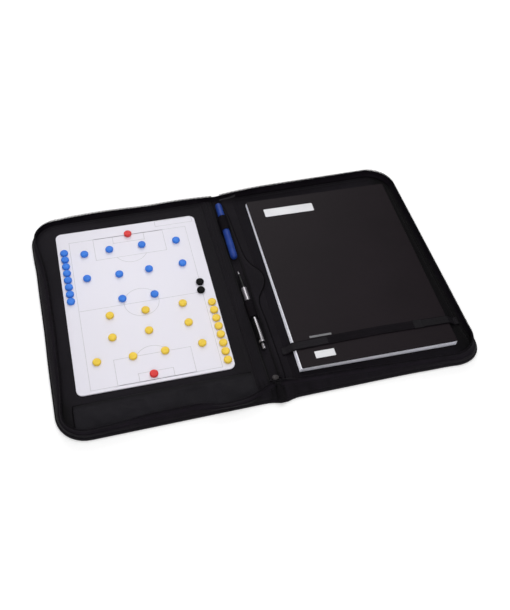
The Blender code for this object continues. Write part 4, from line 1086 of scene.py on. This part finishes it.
def inkRing(x, y, radius, start=0, end=360):
    # a ring, or an arc of one from the start to the end in degrees
    bm = bmesh.new()
    section = [bm.verts.new((radius + dx, 0, z)) for dx, z in
               ((-inkHalf, inkLow), (inkHalf, inkLow), (inkHalf, inkHigh), (-inkHalf, inkHigh))]
    edges = [bm.edges.new((section[i - 1], section[i])) for i in range(4)]
    moved(bm, turn=math.radians(start))
    full = end - start == 360
    bmesh.ops.spin(bm, geom=section + edges, cent=(0, 0, 0), axis=(0, 0, 1),
                   angle=math.radians(end - start), steps=max(8, round(48 * (end - start) / 360)),
                   use_merge=full, use_duplicate=False)
    if not full:
        bmesh.ops.holes_fill(bm, edges=bm.edges, sides=4)
    return moved(bm, (x, y, 0))


def inkBox(x0, y0, x1, y1):
    return [inkStrip(*ends) for ends in
            ((x0, y0, x1, y0), (x0, y1, x1, y1), (x0, y0, x0, y1), (x1, y0, x1, y1))]


# boxes are x, y and x, y; areas and goals run from x to x, that far in from each goal line
pitch = {"box": (18, 4.5, 181.5, 251), "halfway": 128, "circle": (99.8, 128, 23),
         "areas": (51, 148.5, 39), "goals": (78, 121.5, 12.5), "spots": 28, "arc": 23,
         "title": (140.4, 258.8, 193.4, 268.4)}
left, near, right, far = pitch["box"]
lines = inkBox(*pitch["box"])
lines += [inkStrip(left, pitch["halfway"], right, pitch["halfway"]), inkRing(*pitch["circle"])]
for x0, x1, reach in (pitch["areas"], pitch["goals"]):
    lines += inkBox(x0, near, x1, near + reach) + inkBox(x0, far - reach, x1, far)
cut = math.degrees(math.acos((pitch["areas"][2] - pitch["spots"]) / pitch["arc"]))
for y, middle in ((near + pitch["spots"], 90), (far - pitch["spots"], 270)):
    lines.append(inkRing(pitch["circle"][0], y, pitch["arc"], middle - cut, middle + cut))
for name, ink in (("pitchLines", lines), ("titleField", inkBox(*pitch["title"]))):
    finishPiece(name, placeOn(board, joined(*ink)), "printedLine", "left_half",
                sharp=30)

# players: a low drum with a domed top, each at its place across and up the board
player = {"radius": 5.4, "height": 4.7, "foot": 8.42, "sides": 36}
blueSpares, yellowSpares = (9.8, 232, 12.3), (190, 107, 13.5)
playerSpots = {
    "blue": [(36.5, 225), (71, 227), (116, 227), (164, 225.5), (35, 181), (78, 180), (118.5, 181),
             (165, 182), (76, 137), (118.5, 136)],
    "yellow": [(56, 112.5), (102.5, 112), (152, 113), (54.5, 77), (101.5, 78.5), (153.5, 80.5),
               (30.5, 43.5), (75.5, 43), (116, 43), (164, 44.5)],
    "red": [(100, 251), (96.5, 11.7)],
    "black": [(181.4, 144), (180, 130)],
}
for colour, (across, top, gap) in (("blue", blueSpares), ("yellow", yellowSpares)):
    playerSpots[colour] += [(across, top - gap * i) for i in range(8)]


def playerShape():
    r, h = player["radius"], player["height"]
    profile = [(0, 0), (r - 0.9, 0), (r - 0.45, 0.25), (r - 0.3, 0.8), (r - 0.05, 1.6), (r, 2.4),
               (r - 0.1, h - 1.6), (r - 0.45, h - 0.95), (r - 1.0, h - 0.5), (r - 1.7, h - 0.25),
               (r - 2.3, h - 0.2), (r - 2.6, h - 0.28), (r - 3.0, h - 0.2), (1.2, h - 0.02), (0, h)]
    return spun(profile, player["sides"], (0, 0, 1))


for colour, spots in playerSpots.items():
    for number, (across, up) in enumerate(spots, start=1):
        nodeName = f"player_{colour}_{number:02d}"
        spot = Matrix.Rotation(board["turn"], 3, "Z") @ Vector((across, up, player["foot"]))
        bm = moved(playerShape(), Vector(board["corner"]) + spot)
        finishPiece(f"{colour}Player{number:02d}", bm, colour + "Player", nodeName, (nodeName,),
                    sharp=60)
print("board made")


# elastic loops on the spine

loops = {"thickness": 0.8, "foot": 3.9, "rib": 1.5, "panelTop": 5.2, "slack": 0.75}
# how each pen lies on the spine: where across, how high, its turn, and the y it is turned about
markerLie = {"x": 0, "z": 10.25, "turn": math.radians(-0.86), "about": 101}
penLie = {"x": -1.33, "z": 9.4, "turn": math.radians(0.45), "about": -45}


def laid(bm, lie, y=None):
    # with y, the piece first goes from its own start to its place along the spine
    if y is not None:
        moved(bm, (0, y, lie["z"]))
    moved(bm, (0, -lie["about"], 0))
    return moved(moved(bm, turn=lie["turn"]), (lie["x"], lie["about"], 0))


def makeLoop(name, radius, nearY, farY, lie):
    inner, panel, middle = radius + loops["slack"], loops["panelTop"], Vector((0, lie["z"]))
    feet = [Vector((inner + loops["foot"], panel + 0.15)), Vector((inner + 1.2, panel + 0.2))]
    points = list(feet)
    for step in range(19):
        angle = math.radians(-8 + 196 * step / 18)
        points.append(middle + Vector((math.cos(angle), math.sin(angle))) * inner)
    points += [Vector((-foot.x, foot.y)) for foot in reversed(feet)]
    ribs = round((farY - nearY) / loops["rib"])
    rows = ribs * 4

    def place(i, j):
        out = Vector((0, 1))
        if abs(points[i].x) <= inner + 0.1:
            way = (points[min(i + 1, len(points) - 1)] - points[max(i - 1, 0)]).normalized()
            out = Vector((way.y, -way.x))
            if out.dot(points[i] - middle) < 0:
                out = -out
        swell = loops["thickness"] - 0.25 + 0.22 * math.cos(2 * math.pi * j * ribs / rows)
        y = nearY + (farY - nearY) * j / rows
        spot = points[i] + out * swell
        return Vector((spot.x, y, spot.y)), (y, i * 1.2)

    bm = clothGrid(len(points) - 1, rows, place)
    bmesh.ops.recalc_face_normals(bm, faces=bm.faces)
    bmesh.ops.solidify(bm, geom=bm.faces[:], thickness=loops["thickness"] - 0.3)
    finishPiece(name, laid(bm, lie), "elasticCloth", "spine", sharp=60)
    rowsOf = []
    for x in (-inner - 2.6, inner + 2.6):
        rowsOf.append(stitchRow([Vector((x, y, panel + 1.15)) for y in (nearY + 1, farY - 1)]))
    sewPiece(name + "Stitch", laid(joined(*rowsOf), lie), "spine")


makeLoop("markerLoop", 4.9, 105, 131.5, markerLie)
makeLoop("penLoop", 4.1, -52.5, -25.5, penLie)


# marker pen, its barrel with the nib, and its cap

marker = {"tail": 52.7, "shoulder": 130, "top": 159, "radius": 4.9, "capGap": 0.3}
r, end = marker["radius"], marker["shoulder"] - marker["tail"]
bm = spun([(0, 0), (1.6, 0), (1.9, 0.4), (2.6, 0.3), (3.6, 0.9), (4.2, 2.0), (4.35, 3.4), (r - 0.15, 3.6),
           (r, 3.9), (r, end - 2), (r - 0.25, end - 1.8), (r - 0.25, end - 1.2), (r, end - 1.0),
           (r, end - 0.1), (3.7, end), (3.7, end + 9), (2.4, end + 9.6), (2.0, end + 14), (1.0, end + 17),
           (0, end + 17.5)], 48)
finishPiece("markerBarrel", laid(bm, markerLie, marker["tail"]), "markerPlastic", "marker",
            ("marker_barrel",), sharp=35)
capStart = marker["shoulder"] + marker["capGap"]
end = marker["top"] - capStart
bm = spun([(4.0, 0), (r - 0.2, 0), (r, 0.3), (r, 1.6), (r - 0.25, 1.9), (r - 0.25, 2.4), (r, 2.7),
           (r - 0.1, end - 4), (4.4, end - 2.0), (3.9, end - 0.9), (2.9, end - 0.2), (2.2, end),
           (1.9, end - 0.5), (0, end - 0.6), (0, 21), (3.2, 20), (4.0, 18), (4.0, 0)], 48)
finishPiece("markerCap", laid(bm, markerLie, capStart), "markerPlastic", "marker_cap", ("marker_cap",),
            sharp=35)


# ballpoint pen: barrel, ribbed grip, clip, and the refill with its tip and button

pen = {"tail": -95.5, "length": 118.5, "radius": 3.9, "gripStart": 70, "gripEnd": 94, "gripRings": 9,
       "buttonOut": 8.5, "tipOut": 6, "clipWidth": 4.0, "clipLength": 40.5, "roll": 2}


def finishPen(name, bm, finish, body, stands=(), sharp=35):
    finishPiece(name, laid(bm, penLie, pen["tail"]), finish, body, stands, sharp=sharp)


r, end, gripStart, gripEnd = pen["radius"], pen["length"], pen["gripStart"], pen["gripEnd"]
bm = spun([(2.7, 0), (3.3, 0), (r - 0.1, 0.5), (r, 1.2), (r, gripStart - 1), (r - 0.2, gripStart - 0.5),
           (r - 0.2, gripStart), (3.3, gripStart + 0.2), (3.3, gripEnd - 0.2), (r - 0.25, gripEnd),
           (r - 0.35, gripEnd + 1.2), (3.3, end - 16), (2.9, end - 12), (2.2, end - 6), (1.55, end),
           (1.0, end), (1.0, end - 3), (1.6, end - 5), (1.6, 14), (2.7, 14), (2.7, 0)], 48)
finishPen("penBarrel", bm, "penPlastic", "pen", ("pen_barrel",))
profile = [(3.35, gripStart + 0.1)]
ring = (gripEnd - gripStart - 0.4) / pen["gripRings"]
for i in range(pen["gripRings"]):
    start = gripStart + 0.2 + ring * i
    for radius, share in ((3.85, 0.15), (4.1, 0.35), (4.1, 0.65), (3.85, 0.85)):
        profile.append((radius, start + share * ring))
profile += [(3.35, gripEnd - 0.1), (3.35, gripStart + 0.1)]
finishPen("penGrip", spun(profile, 40), "brightMetal", "pen")
half, clipEnd = pen["clipWidth"] / 2, pen["clipLength"]
strip = block((-half, 0.6, r + 1.3), (half, clipEnd, r + 2.1), 0.3)
sliceGrid(strip, (), steps(2, clipEnd - 1, 2))
for vert in strip.verts:
    share = max(0.0, (vert.co.y - 6) / (clipEnd - 6))
    vert.co.x *= 1 - 0.25 * share
    vert.co.z += 0.35 * math.cos(min(1.0, abs(vert.co.x) / half) * math.pi / 2) - 1.1 * share ** 3
band = spun([(r + 0.02, 1.2), (r + 0.35, 1.3), (r + 0.35, 4.4), (r + 0.02, 4.5), (r + 0.02, 1.2)], 40)
bridge = block((-1.7, 1.5, r - 0.2), (1.7, 4.2, r + 1.6), 0.3)
clip = moved(joined(strip, band, bridge), turn=math.radians(pen["roll"]), axis="Y")
finishPen("penClip", clip, "brightMetal", "pen", sharp=40)
out, tip = pen["buttonOut"], end + pen["tipOut"]
bm = spun([(0, 0.15 - out), (1.2, -out), (1.9, 0.1 - out), (2.3, 0.6 - out), (2.4, 1.4 - out), (2.4, -4.6),
           (2.2, -4.4), (2.2, -3.9), (2.4, -3.7), (2.4, 13.4), (1.2, 13.7), (1.2, end - 5.6),
           (0.95, end - 4.6), (0.95, end - 0.2), (1.5, end + 0.15), (1.35, end + 1.6), (0.9, end + 4.2),
           (0.45, end + 5.0), (0.3, tip), (0, tip)], 36)
finishPen("penRefill", bm, "brightMetal", "pen_refill", ("pen_refill",))
print("pens made")


# paper pad: its leaves fan out towards the spine and the near edge, and skew towards the near right

pad = {"corner": (35.2, -144.7, 0), "turn": math.radians(-1.41), "width": 210, "height": 297, "low": 6.75,
       "top": 12.2, "cover": 0.6, "leaves": 22, "fan": (1.7, 0.6), "skew": 0.9, "coverLeft": (1.3, -0.8),
       "coverNear": -0.9}
random.seed(5)
leaves = [block((0.5, 0.5, pad["low"]), (pad["width"] - 0.8, pad["height"] - 0.8, pad["top"]))]
step = (pad["top"] - pad["low"]) / pad["leaves"]
for i in range(pad["leaves"]):
    fanned = (1 - i / pad["leaves"]) ** 0.8
    dx = random.uniform(-0.16, 0.12) - pad["fan"][0] * fanned
    dy = random.uniform(-0.2, 0.05) + pad["coverNear"] - pad["fan"][1] * fanned
    z = pad["low"] + step * i
    leaf = block((dx, dy, z), (pad["width"] - 0.2 + dx, pad["height"] - 0.6, z + step * 0.94))
    for vert in leaf.verts:
        if vert.co.x > pad["width"] / 2 and vert.co.y < pad["height"] / 2:
            vert.co.y -= pad["skew"] * fanned
    leaves.append(leaf)
finishPiece("padLeaves", placeOn(pad, joined(*leaves)), "paperWhite", "pad", ("note_pad",),
            sharp=30)
coverTop = pad["top"] + pad["cover"]
nearLeft, farLeft = pad["coverLeft"]
bm = plate([(nearLeft, pad["coverNear"], 1.5), (pad["width"], pad["coverNear"], 1.5),
            (pad["width"], pad["height"], 0), (farLeft, pad["height"], 0)],
           pad["top"], coverTop - 0.15, 4)
softenRim(bm, [(0.15, 0.15)])
sliceGrid(bm, steps(8, 202, 10), steps(8, 290, 10))
for vert in bm.verts:
    if vert.co.z > coverTop - 0.3:
        vert.co.z += 0.12 * noise.noise(Vector((vert.co.x * 0.012, vert.co.y * 0.009, 1.0)))
finishPiece("padCover", placeOn(pad, bm), "padLeatherette", "pad", ("pad_cover",), sharp=40)
# bare places for printing: x, y and x, y on the cover, corner radius
padPatches = {"padLabel": ((20.2, 262.4, 93.2, 277.6, 1.5), "labelWhite"),
              "padRule": ((23.3, 42.2, 52.6, 45.2, 0.6), "rulePaint"),
              "padField": ((22.8, 10.2, 49.0, 20.8, 1.0), "labelWhite")}
for name, (place, finish) in padPatches.items():
    bm = slab(*place, coverTop - 0.1, coverTop + 0.1, 4)
    softenRim(bm, [(0.05, 0.03)])
    finishPiece(name, placeOn(pad, bm), finish, "pad")
print("pad made")


# elastic strap over the pad

strap = {"corner": (20.0, -111.4, 0), "turn": math.radians(-1.41), "length": 241.6, "width": 12.2,
         "thickness": 1.0, "ribs": 10, "webbing": 60.6, "block": (178.6, 190.6), "low": 6.75,
         "high": 12.95, "leftFlat": 4.4, "leftRise": 11, "rightFlat": 6.2, "rightRise": 10,
         "turnedUnder": 9,
         "stitches": (2.5, 4, 55.5, 58.5, 180.5, 188.5, 236, 239)}
# how far the strap bows towards the far edge, along its length
strapBow = [(0, 0), (20, 0.2), (90, 1.9), (130, 2.5), (170, 1.9), (241.6, 0.8)]


def strapLine(x):
    # underside of the strap: straight down from the pad's edges to the lining, with softened bends
    left = (x - strap["leftFlat"]) / strap["leftRise"]
    right = (strap["length"] - x - strap["rightFlat"]) / strap["rightRise"]
    t = min(1.0, max(0.0, min(left, right)))
    return strap["low"] + (strap["high"] - strap["low"]) * (0.5 * t + 0.5 * ease(t))


def strapSteps(low, high):
    # close steps over the two rises, wider ones between
    spots = [float(i) for i in range(19)]
    while spots[-1] < strap["length"] / 2 - 2:
        spots.append(spots[-1] + 2.05)
    both = spots + [strap["length"] - spot for spot in reversed(spots)]
    return [low] + [spot for spot in both if low + 0.7 < spot < high - 0.7] + [high]


def strapSpot(x, across, lift=0.0):
    slope = (strapLine(x + 0.1) - strapLine(x - 0.1)) / 0.2
    normal = Vector((-slope, 0, 1)).normalized()
    return Vector((x, across + flow(strapBow, x)[0], strapLine(x))) + normal * lift


def strapBand(low, high, width, lift):
    # closed band from one distance to another, its ribs along it
    spots = strapSteps(low, high)
    rows = strap["ribs"] * 4

    def place(i, j):
        if j <= rows:
            across = -0.5 + j / rows
            raised = strap["thickness"] - 0.12 + 0.14 * math.cos(2 * math.pi * j / 4)
        elif j < 2 * rows + 2:
            across, raised = 0.5 - (j - rows - 1) / rows, 0.05
        else:
            across, raised = -0.5, strap["thickness"] + 0.02
        return strapSpot(spots[i], across * width, raised + lift), (spots[i], across * width)

    return clothGrid(len(spots) - 1, 2 * rows + 2, place, closed=True)


bm = strapBand(0, strap["length"], strap["width"], 0)
strapPiece = finishPiece("elasticStrap", placeOn(strap, bm), "elasticCloth", "right_half",
                         ("elastic_strap",), sharp=60)
# webbing sewn over the left end of the elastic, a keeper block farther along, and webbing at the right end
covers = [strapBand(0.4, strap["webbing"], 10.0, 0.35), strapBand(*strap["block"], 12.7, 0.4),
          strapBand(191.2, 241.2, 10.2, 0.3)]
# the keeper block and the right-hand webbing are drawn darker
bm = markPaintedShade(joined(*covers), lambda spot: 0.35 if spot.x > 100 else 0.0)
webbing = finishPiece("strapWebbing", placeOn(strap, bm), "webbingCloth", "right_half",
                      sharp=60)
rowsOf = []
for x in strap["stitches"]:
    rowsOf.append(stitchRow([strapSpot(x, across, 1.5) for across in (-4.4, 4.4)]))
strapSeams = sewPiece("strapStitch", placeOn(strap, joined(*rowsOf)), "right_half")
print("strap made")


# slider with its pull, and the stop at the zip's closed end

slider = {"corner": (0, -158, 18.5), "turn": -math.atan(0.06), "length": 12, "height": 7.6, "plate": 1.2,
          "channel": 4.6, "crown": (4.3, 3.6, 1.5), "crownAt": (-2.3, 1.6), "bridge": (0, -5.6, 1.5),
          "bridgeHalf": 3.9, "wire": 0.8, "post": (3.4, 0.6, 0.9)}


def sliderPlate(y):
    # one side plate, standing, its inner face at y when y is negative and its outer face otherwise
    half, reach = slider["height"] / 2, slider["length"] / 2
    upper = [(reach, half - 2.2, 1.0), (reach - 3, half, 1.6), (-reach, half - 1.4, 1.2)]
    lower = [(x, -z, radius) for x, z, radius in reversed(upper)]
    bm = plate(lower + upper, 0.15, slider["plate"] - 0.15, 5)
    softenRim(bm, [(0.15, 0.15), (0.9, 0), (0.4, -0.12)])
    softenRim(bm, [(0.15, 0.15)], -1)
    return moved(moved(bm, turn=math.pi / 2, axis="X"), (0, y, 0))


gap, (by, bz) = slider["channel"] / 2, slider["bridge"][1:]
wedge = block((-1.4, -gap - 0.4, -0.6), (5.0, gap + 0.4, 0.6), 0.25)
postX, postHalf, postDeep = slider["post"]
posts = [block((x - postHalf, by - postDeep, bz - postDeep), (x + postHalf, -gap - 0.5, bz + postDeep), 0.3)
         for x in (-postX, postX)]
reach, wire = slider["bridgeHalf"], slider["wire"]
bar = spun([(0, -reach), (0.6, -reach), (wire, 0.2 - reach), (wire, reach - 0.2), (0.6, reach),
            (0, reach)], 20)
bar = moved(moved(bar, turn=math.pi / 2), slider["bridge"])
body = joined(sliderPlate(-gap), sliderPlate(gap + slider["plate"]), wedge, *posts, bar)
finishPiece("zipSlider", placeOn(slider, body), "gunMetal", "zip_slider", ("zip_slider",),
            sharp=35)
# domed crown over the two plates, drawn lighter than the slider: worn metal with a painted highlight; its
# profile is a share of the crown's half sizes
bm = spun([(0, -0.9), (0.75, -0.9), (0.93, -0.7), (1.0, -0.35), (0.97, 0.05), (0.86, 0.4), (0.66, 0.7),
           (0.36, 0.93), (0, 1.0)], 32, (0, 0, 1))
bmesh.ops.scale(bm, verts=bm.verts, vec=slider["crown"])
bm = moved(bm, (*slider["crownAt"], slider["height"] / 2 + 0.6))
finishPiece("sliderCrown", placeOn(slider, bm), "wornMetalHighlight", "zip_slider", sharp=50)

pull = {"length": 23, "half": 4.25, "thick": 1.3, "rest": math.radians(32), "turn": math.radians(5.5),
        "ribs": 5, "ribGap": 2.2}
end, half, low = 1 - pull["length"], pull["half"] + 0.2, 0.2 - pull["thick"] / 2
tab = plate([(-3.0, -5.0, 1.2), (-half, end, 3.2), (half, end, 3.2), (3.0, -5.0, 1.2)], low, -low, 6)
for facing in (1, -1):
    softenRim(tab, [(0.2, 0.2), (0.7, 0), (0.35, -0.2)], facing)
parts = [tab, block((-2.3, -6.5, -0.55), (2.3, -1.3, 0.55), 0.25)]
eye = spun([(1.2, -2.3), (1.7, -2.3), (1.85, -2.1), (1.85, 2.1), (1.7, 2.3), (1.2, 2.3), (1.2, -2.3)], 24)
parts.append(moved(eye, turn=math.pi / 2))
for index in range(pull["ribs"]):
    y = 3.4 - pull["length"] + pull["ribGap"] * index
    parts.append(block((-2.7, y - 0.45, -0.95), (2.7, y + 0.45, 0.95), 0.3))
bm = moved(moved(joined(*parts), turn=pull["rest"], axis="X"), slider["bridge"], pull["turn"])
finishPiece("zipPull", placeOn(slider, bm), "pullRubber", "zip_pull", ("zip_pull",), sharp=40)
rear = -slider["length"] / 2 - 0.3
bm = joined(block((rear - 3.4, -1.8, -2.6), (rear, 1.8, 2.6), 0.5, 3),
            block((rear - 2.9, -1.95, -0.35), (rear - 0.5, 1.95, 0.35), 0.12))
finishPiece("zipStop", placeOn(slider, bm), "gunMetal", "zip_tail", ("zip_stop",), sharp=40)
print("zip parts made")


# floor, light and camera, in metres

studio = {"floor": 4.0, "glow": (0.3, 0.85), "glowFrom": 0.6, "glowTo": 2.6, "sky": 0.29,
          "lamps": [("topLight", (0.08, 0.0, 1.7), 1.3, 15), ("backLight", (0.15, 1.5, 1.25), 1.0, 9.5),
                    ("frontFill", (-0.5, -1.5, 1.0), 1.4, 8.8)]}


def makeFloor():
    bm = bmesh.new()
    bmesh.ops.create_grid(bm, x_segments=2, y_segments=2, size=studio["floor"])
    bmesh.ops.translate(bm, verts=bm.verts, vec=(0, 0, -0.0002))
    mesh = bpy.data.meshes.new("studioFloor")
    bm.to_mesh(mesh)
    bm.free()
    tree, shader = startMaterial("studioWhite")
    shader.inputs["Base Color"].default_value = (0.82, 0.82, 0.82, 1)
    shader.inputs["Roughness"].default_value = 0.9
    shader.inputs["Specular IOR Level"].default_value = 0.1
    rays = node(tree, "LightPath")
    seen = mathNode(tree, "MAXIMUM", rays.outputs["Is Camera Ray"], rays.outputs["Is Glossy Ray"])
    seen = mathNode(tree, "MAXIMUM", seen, rays.outputs["Is Transmission Ray"])
    # the glow rises away from the wallet, where the lamps no longer reach
    away = node(tree, "VectorMath", {0: coordinates(tree, "Object")}, operation="LENGTH").outputs["Value"]
    low, high = studio["glow"]
    level = node(tree, "MapRange", {"Value": away, "From Min": studio["glowFrom"],
                                    "From Max": studio["glowTo"], "To Min": low, "To Max": high})
    strength = mathNode(tree, "MULTIPLY", seen, level.outputs[0])
    glow = node(tree, "Emission", {"Color": (1, 1, 1, 1), "Strength": strength})
    both = node(tree, "AddShader", {0: shader.outputs[0], 1: glow.outputs[0]})
    tree.links.new(both.outputs[0], tree.nodes["Material Output"].inputs["Surface"])
    mesh.materials.append(finishes["studioWhite"])
    floor = bpy.data.objects.new("studioFloor", mesh)
    scene.collection.objects.link(floor)


def makeWorld():
    # white to the camera, and a plain soft light to everything else
    world = bpy.data.worlds.new("studio")
    scene.world = world
    world.use_nodes = True
    tree = world.node_tree
    plain = tree.nodes["Background"]
    plain.inputs["Color"].default_value = (1, 1, 1, 1)
    plain.inputs["Strength"].default_value = studio["sky"]
    white = node(tree, "Background", {"Color": (1, 1, 1, 1), "Strength": 1.0})
    rays = node(tree, "LightPath")
    seen = rays.outputs["Is Camera Ray"]
    mix = node(tree, "MixShader", {0: seen, 1: plain.outputs[0], 2: white.outputs[0]})
    tree.links.new(mix.outputs[0], tree.nodes["World Output"].inputs["Surface"])


def makeLamp(name, spot, size, power):
    data = bpy.data.lights.new(name, "AREA")
    data.size = size
    data.energy = power
    lamp = bpy.data.objects.new(name, data)
    scene.collection.objects.link(lamp)
    lamp.location = spot
    lamp.rotation_euler = (-Vector(spot)).to_track_quat("-Z", "Y").to_euler()


makeFloor()
makeWorld()
for lampWords in studio["lamps"]:
    makeLamp(*lampWords)

view = {"place": (-0.201314, -0.661176, 0.848418), "lens": 47.67,
        "right": (0.96498, -0.258517, 0.044525), "up": (0.176782, 0.766275, 0.617714),
        "back": (-0.193808, -0.58821, 0.785142)}
cameraData = bpy.data.cameras.new("camera")
camera = bpy.data.objects.new("camera", cameraData)
scene.collection.objects.link(camera)
camera.matrix_world = (Matrix.Translation(view["place"])
                       @ Matrix((view["right"], view["up"], view["back"])).transposed().to_4x4())
cameraData.lens = view["lens"]
cameraData.sensor_fit = "AUTO"
scene.camera = camera
scene.view_settings.view_transform = "Standard"

print("stage set")
